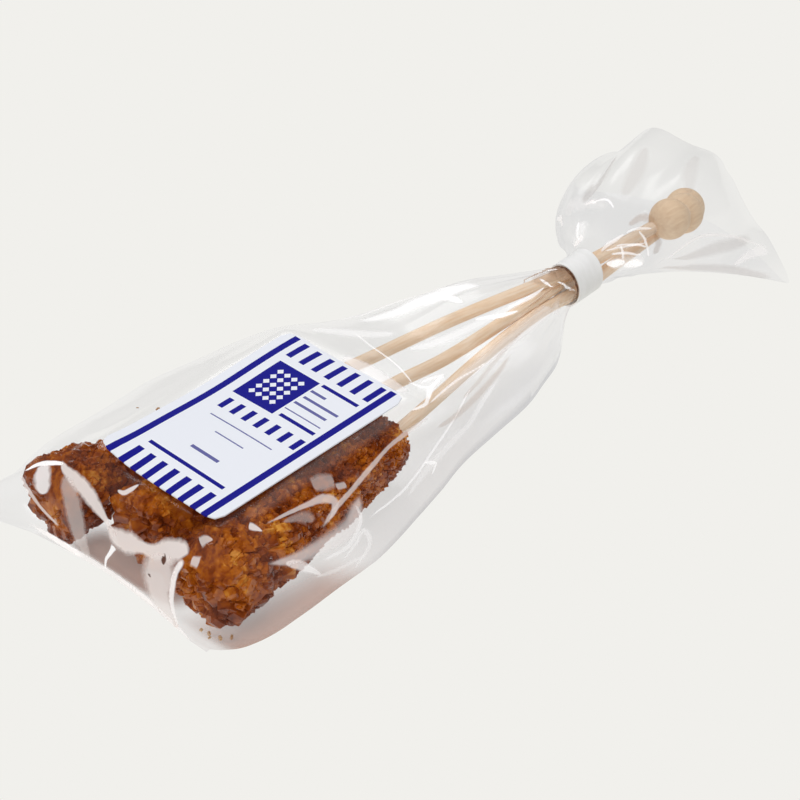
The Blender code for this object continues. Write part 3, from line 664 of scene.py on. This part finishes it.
# soft painted sheens and painted shades that fade out into the film, in the same terms
PAINTED_SHEENS_AND_SHADES = (
    (0.25, 0.72, ((27.0, -23.0, 14.0, 0.4), (34.0, -21.6, 12.2, 0.8), (46.0, -18.6, 10.2, 0.9), (58.0, -15.6, 9.6, 0.5))),
    (0.2, 0.7, ((38.0, -19.4, 12.4, 0.4), (52.0, -15.4, 10.6, 0.7), (66.0, -12.4, 10.0, 0.4))),
    (0.34, 0.02, ((98.4, -10.4, 10.4, 1.0), (100.6, -11.9, 9.9, 2.8), (103.8, -13.5, 9.5, 2.6), (105.6, -14.5, 9.6, 0.8))),
    (0.28, 0.0, ((97.0, 1.2, 11.0, 1.0), (98.6, -1.2, 13.4, 2.2), (101.6, 1.2, 15.0, 1.4))),
    (0.2, 0.05, ((102.6, 4.6, 14.7, 1.0), (104.9, 5.4, 15.0, 2.6), (106.2, 1.4, 17.4, 2.2), (106.0, -2.6, 17.9, 1.0))),
    (0.29, 0.25, ((-15.1, -22.2, 16.5, 0.3), (-12.5, -23.0, 16.2, 1.2), (-10.6, -24.0, 15.7, 1.9), (-10.4, -25.4, 15.1, 0.7))),
    (0.46, 0.08, ((1.6, -26.0, 14.8, 0.6), (-1.4, -27.8, 13.6, 1.8), (-4.3, -29.0, 12.4, 2.4), (-8.2, -29.2, 12.2, 2.4), (-12.6, -28.9, 12.6, 2.0), (-16.7, -28.6, 13.0, 1.6), (-20.0, -27.9, 13.6, 1.1), (-23.8, -26.6, 14.5, 0.3))),
    (0.06, 0.15, ((-22.0, -18.2, 18.0, 1.0), (-9.7, -17.8, 18.4, 2.4), (4.0, -17.6, 18.4, 2.8), (18.0, -17.6, 17.8, 2.0), (26.0, -17.0, 16.8, 0.6))),
    (0.28, 0.0, ((10.0, -27.0, 9.0, 0.4), (20.0, -25.6, 10.0, 1.2), (34.0, -22.0, 9.0, 1.0), (52.0, -17.0, 7.0, 0.4))),
    (0.28, 0.8, ((105.2, -9.1, 16.9, 0.8), (107.7, -10.9, 18.1, 1.6), (109.1, -13.7, 17.7, 0.8))),
    (0.28, 0.9, ((108.5, -13.5, 16.0, 0.6), (108.5, -14.8, 13.0, 1.2), (107.6, -15.4, 10.2, 0.8))),
    (0.28, 0.5, ((122.0, 7.0, 20.0, 0.8), (114.4, 5.1, 19.2, 1.8), (110.3, 4.5, 18.2, 1.8), (105.5, 3.7, 16.9, 0.8))),
    (0.2, 0.4, ((126.9, 2.6, 22.0, 0.8), (118.0, -1.5, 21.2, 2.6), (110.1, -3.7, 19.3, 1.2))),
    (0.16, 0.4, ((132.5, -7.3, 21.0, 1.0), (124.0, -11.5, 21.5, 2.4), (118.6, -15.0, 20.3, 1.0))),
    (0.26, 0.45, ((112.0, -17.0, 6.8, 0.4), (116.1, -18.3, 6.9, 1.6), (123.2, -21.1, 7.1, 2.4), (133.5, -23.5, 5.6, 1.4))),
    (0.28, 0.45, ((110.0, -15.4, 4.0, 0.4), (117.8, -17.4, 2.7, 1.4), (124.4, -23.6, 1.8, 1.4), (129.6, -32.3, 0.8, 1.4))),
    # painted bright sheen on the puffed film before the neck and over the sticks, then painted brown shade against the
    # tape
    (0.55, 0.0, ((44.0, 14.6, 12.4, 1.2), (48.5, 12.4, 11.8, 2.0), (52.6, 10.4, 12.2, 2.4), (57.3, 9.1, 12.7, 3.0), (61.0, 6.7, 13.5, 3.4), (65.6, 4.6, 13.9, 2.2), (70.0, 2.0, 13.8, 0.8))),
    (0.36, 0.0, ((42.0, -1.4, 13.8, 0.8), (47.9, -2.8, 12.8, 1.6), (59.8, -5.5, 12.8, 1.4), (74.4, -6.8, 12.3, 0.8))),
    (0.34, 0.08, ((31.7, -18.2, 15.3, 1.0), (46.9, -14.1, 11.4, 1.8), (59.0, -13.1, 10.7, 2.2), (71.9, -11.8, 9.6, 2.0), (80.0, -9.9, 10.2, 1.0))),
    (0.22, 0.0, ((31.0, -14.4, 16.3, 1.2), (36.0, -13.4, 15.0, 2.6), (41.0, -12.6, 13.6, 1.4))),
    (0.35, 0.0, ((30.0, 15.0, 15.2, 1.4), (38.0, 10.0, 14.6, 2.6), (46.0, 5.0, 13.2, 1.4))),
    (0.45, 0.7, ((86.6, -1.4, 11.4, 1.2), (86.4, -4.8, 12.6, 2.4), (86.4, -8.6, 11.0, 2.4), (86.8, -9.6, 7.0, 1.2))),
    (0.35, 0.7, ((78.0, -4.6, 13.2, 1.0), (83.0, -5.0, 12.8, 2.6), (87.4, -5.4, 12.6, 2.0))),
)
# folds that stand up or sink: height, then (x, y, z, half-width) along them
FOLDS = (
    (-0.7, ((122.0, 9.0, 19.0, 1.5), (111.0, 4.5, 18.5, 2.4), (102.0, 2.5, 16.1, 1.2))),
    (-0.7, ((105.0, -15.0, 10.0, 1.0), (118.0, -19.0, 3.5, 2.0), (128.0, -29.0, 1.2, 2.0))),
)


def sharp_waves(angle, counts, seed):
    """Uneven pleats round the neck: sharp crests with rounded valleys, about 0."""
    draw = random.Random(seed)
    total = 0.0
    for count in counts:
        total = total + 0.64 - np.abs(np.sin(count * angle / 2 + draw.uniform(0, math.pi)))
    return total / len(counts)


def film_lift(points, station, angle):
    """How far the film stands off its smooth form, in pleats, folds and soft dents."""
    # pleats that run into the tape from the body, and out of it into the mouth
    before = smooth((station - 42) / 36) * smooth((NECK_X - 2.5 - station) / 4)
    lift = 0.75 * before * sharp_waves(angle, (10, 16, 26), 3)
    after = smooth((station - NECK_X - 3.4) / 8)
    fades = 1 - 0.75 * smooth((station - 104) / 20)
    lift += 0.7 * after * fades * (sharp_waves(angle, (4, 8, 12), 8) - 0.3)
    # crumpled facets beside the tape
    near, _ = cells_at(points, 4.5, 2.0)
    beside = smooth((station - NECK_X - 4) / 4) * (1 - smooth((station - 104) / 12))
    lift += 1.1 * beside * (0.30 - near)
    # soft dents everywhere, firmer over the candy's lower end
    outside_tape = smooth((np.abs(station - NECK_X) - 3) / 4)
    lift += 0.3 * outside_tape * (1 - 0.5 * (station > NECK_X)) * noise_at(points, 11.0, 1.0)
    near, _ = cells_at(points, 7.0, 5.0)
    lift += 0.6 * smooth((-20 - station) / 14) * (0.5 - near)
    for height, route in FOLDS:
        lift += height * smooth(reach(points, route))
    lift *= 1 - under_label(points[:, 0], points[:, 1]) * (points[:, 2] > 10)
    lift *= smooth((points[:, 2] - 0.2) / 3) * 0.9 + 0.1
    return lift * smooth((station - SEAM_X) / 1.5)


def build_film(settings):
    """The whole bag as one fine sheet, with its folds."""
    shape = bmesh.new()
    bmesh.ops.create_grid(shape, x_segments=FILM_ROWS, y_segments=FILM_COLUMNS, size=0.5)
    spots = np.array([vert.co for vert in shape.verts])
    along = spots[:, 0] + 0.5
    station = mix(SEAM_X, NECK_END_X + MOUTH_LENGTH, along * (0.9 + 0.1 * along))
    angle = (spots[:, 1] + 0.5) * 2 * math.pi
    points = film_form(station, angle)
    run = film_form(station + 0.05, angle) - film_form(station - 0.05, angle)
    turn = film_form(station, angle + 0.004) - film_form(station, angle - 0.004)
    normals = np.cross(turn, run)
    normals /= np.maximum(np.linalg.norm(normals, axis=1), 1e-9)[:, None]
    points += normals * (film_lift(points, station, angle) * settings.crease_depth)[:, None]
    points[:, 2] = np.maximum(points[:, 2], 0.05)
    for vert, point in zip(shape.verts, points):
        vert.co = place(*point)
    bmesh.ops.remove_doubles(shape, verts=shape.verts, dist=1e-7)
    bmesh.ops.recalc_face_normals(shape, faces=shape.faces)
    return to_mesh(shape, "film_bag")


def mark_film(mesh):
    """Mark where the film is hazy and grey, and paint shade where the candy's shadow falls on it."""
    points, _ = vertex_places(mesh)
    x, y, z = points.T
    veil = 0.015 * smooth(noise_at(points, 8.0, 7.0) * 2.2) * (z > 6)
    store(mesh, "veil", clamp(veil))
    # the mouth's film is a little grey where it stands up; the pack's -Y side gets painted grey shade on its lower
    # sheet
    dim = (0.055 + 0.04 * noise_at(points, 9.0, 4.0)) * smooth((x - NECK_X - 2) / 10) * smooth((z - 0.6) / 2)
    dim += 0.045 * smooth((x - NECK_X - 6) / 6) * smooth((115 - x) / 8) * smooth((z - 4) / 6)
    beside = smooth((-2 - y) / 14) * smooth((x + 12) / 24) * smooth((NECK_X - 8 - x) / 20) * (z < 4)
    store(mesh, "dim", clamp(dim + 0.16 * beside))
    # painted shade on the lower sheet for the candy's shadow: along the -Y side, at its bottom corner and under the
    # ridge, lighter at the seam
    below = 1 - smooth((z - 0.3) / 4)
    right = smooth((4 - y) / 26) * (1 - smooth((x - 20) / 60)) * smooth((NECK_X - x) / 20)
    corner = smooth(reach(points, ((-38.0, -30.0, 0.0, 24.0), (-12.0, -30.0, 0.0, 12.5))))
    ridge = smooth(1.3 * reach(points, ((-31.0, 12.0, 0.0, 9.0), (-31.5, 2.0, 0.0, 11.0), (-29.0, -6.0, 0.0, 8.0))))
    off_seam = 0.2 + 0.8 * smooth((x - SEAM_X - 2) / 3.5)
    store(mesh, "shade", clamp((0.08 * right + 0.78 * corner + 0.85 * ridge) * below * off_seam))


def build_creases(film):
    """Thin strips on the film's creases: crease whitening, painted highlight and painted shade."""
    tree = BVHTree.FromPolygons([vert.co for vert in film.data.vertices], [face.vertices for face in film.data.polygons])
    shape = bmesh.new()
    layers = [shape.verts.layers.float.new(name) for name in ("strength", "tone", "middle")]
    for strength, tone, route in PAINTED_CREASE_LIGHT_AND_SHADE + PAINTED_SHEENS_AND_SHADES:
        fades = (strength, tone, route) in PAINTED_SHEENS_AND_SHADES
        centres = smooth_route([place(*stop[:3]) for stop in route], 14)
        widths = smooth_route([Vector((stop[3], 0, 0)) for stop in route], 14)
        count = len(centres)
        made = bmesh.ops.create_grid(shape, x_segments=count - 1, y_segments=14 if fades else 6, size=0.5)["verts"]
        frames = []
        for i, centre in enumerate(centres):
            run = centres[min(i + 1, count - 1)] - centres[max(i - 1, 0)]
            near, normal, _, _ = tree.find_nearest(centre)
            frames.append((near, normal.cross(run).normalized() * max(widths[i].x, 0.05) * MM))
        for vert in made:
            step = round((vert.co.x + 0.5) * (count - 1))
            across = vert.co.y * 2
            centre, side = frames[step]
            near, normal, _, _ = tree.find_nearest(centre + side * across)
            vert.co = near + normal * CREASE_STAND_OFF * MM
            inner = (1 - abs(across)) * min(1.0, 10 * min(step, count - 1 - step) / count)
            values = (strength * smooth(inner * 1.4), tone, 1.0) if fades else (strength, tone, inner)
            for layer, value in zip(layers, values):
                vert[layer] = value
    bmesh.ops.recalc_face_normals(shape, faces=shape.faces)
    return to_mesh(shape, "film_creases_and_painted_light")


# ---------------------------------------------------------------- candy, wood, tape


def candy_radius(radii, share):
    return np.interp(share, np.linspace(0, 1, len(radii)), radii)


def axis_turn(start, end):
    """The matrix that lays a shape built along X on the line from start to end."""
    turn = (end - start).to_track_quat("X", "Z").to_matrix().to_4x4()
    turn.translation = start
    return turn


def crystal_block(chamfer):
    """A unit block with its edges cut off: its corners and its faces."""
    shape = bmesh.new()
    bmesh.ops.create_cube(shape, size=1.0)
    if chamfer:
        bmesh.ops.bevel(
            shape,
            geom=shape.edges[:],
            offset=chamfer,
            affect="EDGES",
            segments=1,
            profile=0.5,
            material=-1,
        )
    shape.verts.index_update()
    corners = np.array([vert.co for vert in shape.verts])
    faces = [[vert.index for vert in face.verts] for face in shape.faces]
    shape.free()
    return corners, faces


def grow_crystals(draw, blocks, count, lay, length, radii, size_at):
    """Leaning blocks of sugar, half buried all over a candy's surface and lower end."""
    corners, faces = [], []
    total = 0
    for step in range(count):
        share = (step + draw.random()) / count * 1.06 - 0.06
        around = draw.uniform(0, 2 * math.pi)
        size = size_at(max(share, 0)) * draw.uniform(0.55, 1.3)
        sizes = (size * draw.uniform(0.8, 1.35), size * draw.uniform(0.6, 1.0), size * draw.uniform(0.45, 0.8))
        radius = candy_radius(radii, max(share, 0)) * MM
        radius *= 1 + 0.10 * noise.noise(Vector((share * 9, math.cos(around) * 1.6, math.sin(around) * 1.6)))
        if share < 0:
            radius *= draw.random() ** 0.5
        radius = max(radius - size * 0.30, 0)
        local = Vector((max(share, -0.01) * length, math.cos(around) * radius, math.sin(around) * radius))
        spin = Matrix.Rotation(around + draw.uniform(-0.6, 0.6), 4, "X")
        tip = Matrix.Rotation(draw.uniform(-0.9, 0.9), 4, "Z") @ Matrix.Rotation(draw.uniform(-0.6, 0.6), 4, "Y")
        lean = Matrix.Shear("XY", 4, (draw.uniform(-0.35, 0.35), draw.uniform(-0.2, 0.2)))
        matrix = Matrix.Translation(lay @ local) @ lay.to_3x3().to_4x4() @ spin @ tip @ lean @ Matrix.Diagonal((*sizes, 1))
        matrix = np.array(matrix)
        block, block_faces = draw.choice(blocks)
        corners.append(block @ matrix[:3, :3].T + matrix[:3, 3])
        faces += [[total + i for i in face] for face in block_faces]
        total += len(block)
    return np.vstack(corners), faces


def keep_inside(points, film, gap):
    """Move points that stick out through the film to just under it."""
    if film is None:
        return points
    tree = BVHTree.FromPolygons([vert.co for vert in film.data.vertices], [face.vertices for face in film.data.polygons])
    for i, point in enumerate(points):
        near, normal, _, _ = tree.find_nearest(Vector(point))
        if (Vector(point) - near).dot(normal) > -gap:
            points[i] = near - normal * gap
    return points


def joined(mesh_name, parts):
    """One mesh of several lots of corners and faces."""
    corners, faces = [], []
    for more, more_faces in parts:
        offset = sum(len(part) for part in corners)
        corners.append(more)
        faces += [[offset + i for i in face] for face in more_faces]
    points = keep_inside(np.vstack(corners), bpy.data.objects.get("film_bag"), 0.12 * MM)
    mesh = bpy.data.meshes.new(mesh_name)
    mesh.from_pydata(points.tolist(), [], faces)
    return mesh


def build_candy_piece(index, settings):
    """One stick's candy: a knobbly core with sugar crystals and clear blocks grown all over it."""
    draw = random.Random(40 + index)
    start, end, radii = CANDIES[index]
    start, end = place(*start), place(*end)
    length = (end - start).length
    lay = axis_turn(start, end)
    shape = bmesh.new()
    core = bmesh.ops.create_uvsphere(shape, u_segments=28, v_segments=24, radius=1.0)["verts"]
    for vert in core:
        share = (vert.co.z + 1) / 2
        radius = candy_radius(radii, share) * 0.86 * MM
        ring = Vector((vert.co.x, vert.co.y))
        if ring.length > 1e-6:
            ring = ring.normalized() * radius * min(1.0, ring.length * 1.9)
        vert.co = lay @ Vector((share * length, ring.x, ring.y))
    shape.verts.index_update()
    core = (np.array([vert.co for vert in shape.verts]), [[vert.index for vert in face.verts] for face in shape.faces])
    shape.free()
    cut_blocks = [crystal_block(chamfer) for chamfer in (0.07, 0.13, 0.2)]
    kinds = (
        (cut_blocks, settings.crystals, lambda share: settings.crystal_size * (1.35 - 0.75 * share)),
        ([crystal_block(0)], settings.crystals * 2, lambda share: settings.grain_size),
        (cut_blocks, settings.blocks, lambda share: settings.crystal_size * (2.3 - 1.6 * min(share * 1.6, 1))),
    )
    grown = [grow_crystals(draw, *kind[:2], lay, length, radii, kind[2]) for kind in kinds]
    return joined(f"candy_{index + 1}", [core] + grown)


# loose crumbs in the bag: x, y, z and size, in millimetres
CRUMBS = (
    (-34.6, -22.0, 2.2, 0.8),
    (-33.9, -24.2, 2.0, 0.9),
    (-35.0, -20.4, 2.4, 0.6),
    (-32.2, -25.4, 1.8, 0.7),
    (-35.4, -23.0, 2.4, 0.5),
    (-8.5, 18.0, 18.0, 0.8),
    (-9.7, 22.8, 16.6, 0.5),
)


def build_crumbs():
    """Crumbs of sugar that have come off the candies and lie in the bag."""
    draw = random.Random(7)
    block, block_faces = crystal_block(0.13)
    parts = []
    for x, y, z, size in CRUMBS:
        turn = Matrix.Rotation(draw.uniform(0, math.pi), 4, "Z") @ Matrix.Rotation(draw.uniform(0, math.pi), 4, "X")
        sizes = (size * draw.uniform(0.8, 1.3), size * draw.uniform(0.6, 1.0), size * draw.uniform(0.5, 0.9), 1)
        matrix = np.array(Matrix.Translation(place(x, y, z)) @ turn @ Matrix.Diagonal(sizes) @ Matrix.Scale(MM, 4))
        parts.append((block @ matrix[:3, :3].T + matrix[:3, 3], block_faces))
    return joined("sugar_crumbs", parts)


def smooth_route(points, steps):
    """A Catmull-Rom curve through the points, as steps places for each span."""
    ends = [points[0] * 2 - points[1]] + list(points) + [points[-1] * 2 - points[-2]]
    made = []
    for a, b, c, d in zip(ends, ends[1:], ends[2:], ends[3:]):
        for i in range(steps):
            t = i / steps
            curve = b * 2 + (c - a) * t + (a * 2 - b * 5 + c * 4 - d) * t * t
            made.append((curve + (b * 3 - a - c * 3 + d) * t ** 3) / 2)
    made.append(points[-1].copy())
    return made


def build_stick_piece(index, settings):
    """One whole stick: from inside the candy, through the band and into its bead."""
    bead_low, bead_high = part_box(f"bead_{index + 1}")
    bead = (bead_low + bead_high) / 2
    route = [place(*point) for point in STICK_ROUTES[index]]
    run = (bead - route[-1]).normalized()
    route += [route[-1].lerp(bead, 0.5), bead + run * 4.75 * MM]
    stations = smooth_route(route, 8)
    radius = settings.stick_diameter / 2
    shape = bmesh.new()
    ring = bmesh.ops.create_circle(shape, cap_ends=True, segments=20, radius=radius)["verts"]
    layer = shape.verts.layers.float_vector.new("grain")
    along = 0.0
    face = shape.faces[:][0]
    last = stations[0]
    for step, station in enumerate(stations):
        following = stations[min(step + 1, len(stations) - 1)]
        before = stations[max(step - 1, 0)]
        turn = (following - before).to_track_quat("X", "Z").to_matrix()
        along += (station - last).length
        last = station
        if step:
            made = bmesh.ops.extrude_face_region(shape, geom=[face])
            face = next(item for item in made["geom"] if isinstance(item, bmesh.types.BMFace))
        for i, vert in enumerate(face.verts):
            angle = 2 * math.pi * i / len(face.verts)
            across = Vector((0, math.cos(angle) * radius, math.sin(angle) * radius))
            vert.co = station + turn @ across
            vert[layer] = (along / MM, across.y / MM, across.z / MM)
    bmesh.ops.recalc_face_normals(shape, faces=shape.faces)
    return to_mesh(shape, f"whole_stick_{index + 1}")


def build_bead_piece(index):
    """One turned bead, slightly longer than wide, with a flat rim round the stick."""
    bead_low, bead_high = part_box(f"bead_{index + 1}")
    bead = (bead_low + bead_high) / 2
    radius = (bead_high.y - bead_low.y) / 2
    route_end = place(*STICK_ROUTES[index][-1])
    lay = axis_turn(bead, bead + (bead - route_end))
    shape = bmesh.new()
    bmesh.ops.create_uvsphere(shape, u_segments=48, v_segments=32, radius=radius)
    layer = shape.verts.layers.float_vector.new("grain")
    for vert in shape.verts:
        x, y, z = vert.co.z, vert.co.x, vert.co.y
        x = max(min(x, radius * 0.96), -radius * 0.96)
        vert[layer] = (x / MM + 11 * index, y / MM, z / MM)
        vert.co = lay @ Vector((x, y, z))
    bmesh.ops.recalc_face_normals(shape, faces=shape.faces)
    return to_mesh(shape, f"turned_bead_{index + 1}")


# ---------------------------------------------------------------- settings


class FilmSettings(bpy.types.PropertyGroup):
    haze: bpy.props.FloatProperty(name="Haze", description="White haze all over the film", default=0.002, min=0, max=1)
    roughness: bpy.props.FloatProperty(name="Roughness", description="Softness of the film's reflections", default=0.18, min=0, max=1)
    crease_depth: bpy.props.FloatProperty(name="Crease Depth", description="Strength of the film's folds and dents", default=1.0, min=0, max=2)


class CandySettings(bpy.types.PropertyGroup):
    crystals: bpy.props.IntProperty(name="Crystals", description="Crystals grown on one stick", default=1600, min=20, max=4000)
    blocks: bpy.props.IntProperty(name="Clear Blocks", description="Larger clear blocks on one stick", default=100, min=1, max=500)
    crystal_size: bpy.props.FloatProperty(name="Crystal Size", description="Middle size of a crystal", default=2.0 * MM, unit="LENGTH", subtype="DISTANCE")
    grain_size: bpy.props.FloatProperty(name="Grain Size", description="Size of the small sugar grains", default=1.2 * MM, unit="LENGTH", subtype="DISTANCE")


class StickSettings(bpy.types.PropertyGroup):
    stick_diameter: bpy.props.FloatProperty(name="Stick Diameter", description="Thickness of a stick", default=2.8 * MM, unit="LENGTH", subtype="DISTANCE")


class PrintSettings(bpy.types.PropertyGroup):
    ink: bpy.props.FloatVectorProperty(name="Ink", description="Colour of the print", subtype="COLOR", default=linear("#12118A")[:3])
    paper: bpy.props.FloatVectorProperty(name="Paper", description="Colour of the label", subtype="COLOR", default=linear("#EEF0F6")[:3])


class StageSettings(bpy.types.PropertyGroup):
    floor: bpy.props.FloatVectorProperty(name="Floor", description="Colour of the floor", subtype="COLOR", default=linear("#F1F0EC")[:3])


# ---------------------------------------------------------------- operators


class AddFilm(bpy.types.Operator):
    """Add the clear film bag round the candy"""

    bl_idname = "rock_candy.add_film"
    bl_label = "Add Film Bag"

    def execute(self, context):
        settings = context.scene.rock_candy_film
        mesh = build_film(settings)
        mark_film(mesh)
        film = add_piece("film_bag", mesh, film_material(settings), ["bag"], smooth_angle=60)
        add_piece("film_creases_and_painted_light", build_creases(film), crease_material(), smooth_angle=60)
        return {"FINISHED"}


class AddCandy(bpy.types.Operator):
    """Add the three crystal candies"""

    bl_idname = "rock_candy.add_candy"
    bl_label = "Add Candy"

    def execute(self, context):
        settings = context.scene.rock_candy_candy
        sugar = sugar_material("brown_rock_sugar", ((0.0, "#481704"), (0.35, "#8A3F09"), (0.65, "#B8650E"), (1.0, "#EDAC48")), 0.1)
        for index in range(len(CANDIES)):
            add_piece(f"candy_{index + 1}", build_candy_piece(index, settings), sugar)
        pale = sugar_material("pale_sugar_crumbs", ((0.0, "#A8703C"), (1.0, "#EBCFA0")), 0.2)
        add_piece("sugar_crumbs", build_crumbs(), pale)
        return {"FINISHED"}


class AddSticks(bpy.types.Operator):
    """Add the wooden sticks and their beads"""

    bl_idname = "rock_candy.add_sticks"
    bl_label = "Add Sticks"

    def execute(self, context):
        settings = context.scene.rock_candy_stick
        stick_wood = wood_material("turned_birch_stick", "#FFEBD2", "#EBC59B", 0.35)
        bead_wood = wood_material("turned_birch_bead", "#F8DCB8", "#E6C29B", 0.5)
        for index in range(len(STICK_ROUTES)):
            number = index + 1
            add_piece(f"whole_stick_{number}", build_stick_piece(index, settings), stick_wood, [f"stick_{number}"], smooth_angle=50)
            add_piece(f"turned_bead_{number}", build_bead_piece(index), bead_wood, [f"bead_{number}"], smooth_angle=40)
        return {"FINISHED"}


class AddWrap(bpy.types.Operator):
    """Finish the tape round the neck and the printed label"""

    bl_idname = "rock_candy.add_wrap"
    bl_label = "Finish Tape and Label"

    def execute(self, context):
        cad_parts["tie_band"].data.materials.clear()
        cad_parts["tie_band"].data.materials.append(tape_material())
        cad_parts["label"].data.materials.clear()
        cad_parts["label"].data.materials.append(label_material(context.scene.rock_candy_print))
        return {"FINISHED"}


class AddStage(bpy.types.Operator):
    """Add the floor, the lights and the camera"""

    bl_idname = "rock_candy.add_stage"
    bl_label = "Add Stage"

    def execute(self, context):
        settings = context.scene.rock_candy_stage
        scene = context.scene
        shape = bmesh.new()
        bmesh.ops.create_grid(shape, x_segments=1, y_segments=1, size=6.0)
        mesh = to_mesh(shape, "floor")
        made, tree = new_material("pale_paper_floor")
        glow = add_node(tree, "ShaderNodeEmission", {"Color": tuple(settings.floor) + (1,), "Strength": 1.0})
        set_output(tree, glow)
        mesh.materials.append(made)
        floor = bpy.data.objects.new("floor", mesh)
        floor.location.z = -0.3 * MM
        scene.collection.objects.link(floor)

        world = bpy.data.worlds.new("studio")
        world.use_nodes = True
        world.node_tree.nodes["Background"].inputs["Color"].default_value = linear("#C4C6CB")
        world.node_tree.nodes["Background"].inputs["Strength"].default_value = 0.45
        world.cycles_visibility.glossy = False
        scene.world = world
        lights = (
            # name, azimuth, elevation, distance, width, height, watts
            ("backdrop", 140.0, 39.0, 0.9, 0.34, 0.3, 1.2),
            ("overhead", 90.0, 80.0, 0.8, 0.6, 0.6, 2.7),
            ("fill", -70.0, 42.0, 0.9, 0.8, 0.8, 3.6),
        )
        for name, azimuth, elevation, distance, width, height, watts in lights:
            lamp = bpy.data.lights.new(name, "AREA")
            lamp.shape = "RECTANGLE"
            lamp.size = width
            lamp.size_y = height
            lamp.energy = watts
            item = bpy.data.objects.new(name, lamp)
            toward = heading(azimuth, elevation)
            item.location = toward * distance
            item.rotation_euler = toward.to_track_quat("Z", "Y").to_euler()
            item.visible_glossy = name == "backdrop"
            scene.collection.objects.link(item)

        lens = bpy.data.cameras.new("camera")
        lens.lens = 100.0
        lens.sensor_width = 36.0
        camera = bpy.data.objects.new("camera", lens)
        back = heading(CAMERA_AZIMUTH, CAMERA_ELEVATION)
        right = Vector((0, 0, 1)).cross(back).normalized()
        up = back.cross(right)
        level = Matrix((right, up, back)).transposed()
        camera.matrix_world = Matrix.Translation(place(*CAMERA_PLACE)) @ (level @ Matrix.Rotation(CAMERA_ROLL, 3, "Z")).to_4x4()
        scene.collection.objects.link(camera)
        scene.camera = camera
        scene.view_settings.view_transform = "Standard"
        return {"FINISHED"}


CAMERA_PLACE = (-227.63, -245.87, 283.02)
CAMERA_AZIMUTH = -47.571
CAMERA_ELEVATION = 37.765
CAMERA_ROLL = math.radians(-0.388)


def heading(azimuth, elevation):
    """The unit direction from the pack to a place: azimuth 0 is -Y and 90 is +X."""
    azimuth, elevation = math.radians(azimuth), math.radians(elevation)
    flat = math.cos(elevation)
    return Vector((math.sin(azimuth) * flat, -math.cos(azimuth) * flat, math.sin(elevation)))


class RockCandyPanel(bpy.types.Panel):
    """Lists the pack's pieces and their settings"""

    bl_idname = "VIEW3D_PT_rock_candy"
    bl_label = "Rock Candy"
    bl_space_type = "VIEW_3D"
    bl_region_type = "UI"
    bl_category = "Rock Candy"

    def draw(self, context):
        for operator in OPERATORS:
            self.layout.operator(operator.bl_idname)
        for name, group in SETTINGS.items():
            box = self.layout.box()
            for prop in group.__annotations__:
                box.prop(getattr(context.scene, name), prop)


SETTINGS = {
    "rock_candy_film": FilmSettings,
    "rock_candy_candy": CandySettings,
    "rock_candy_stick": StickSettings,
    "rock_candy_print": PrintSettings,
    "rock_candy_stage": StageSettings,
}
OPERATORS = (AddFilm, AddCandy, AddSticks, AddWrap, AddStage)


def register():
    for name, group in SETTINGS.items():
        bpy.utils.register_class(group)
        setattr(bpy.types.Scene, name, bpy.props.PointerProperty(type=group))
    for operator in OPERATORS:
        bpy.utils.register_class(operator)
    bpy.utils.register_class(RockCandyPanel)


def unregister():
    bpy.utils.unregister_class(RockCandyPanel)
    for operator in OPERATORS:
        bpy.utils.unregister_class(operator)
    for name, group in SETTINGS.items():
        delattr(bpy.types.Scene, name)
        bpy.utils.unregister_class(group)


def main():
    register()
    bpy.ops.rock_candy.add_film()
    bpy.ops.rock_candy.add_candy()
    bpy.ops.rock_candy.add_sticks()
    bpy.ops.rock_candy.add_wrap()
    bpy.ops.rock_candy.add_stage()


if __name__ == "__main__":
    main()
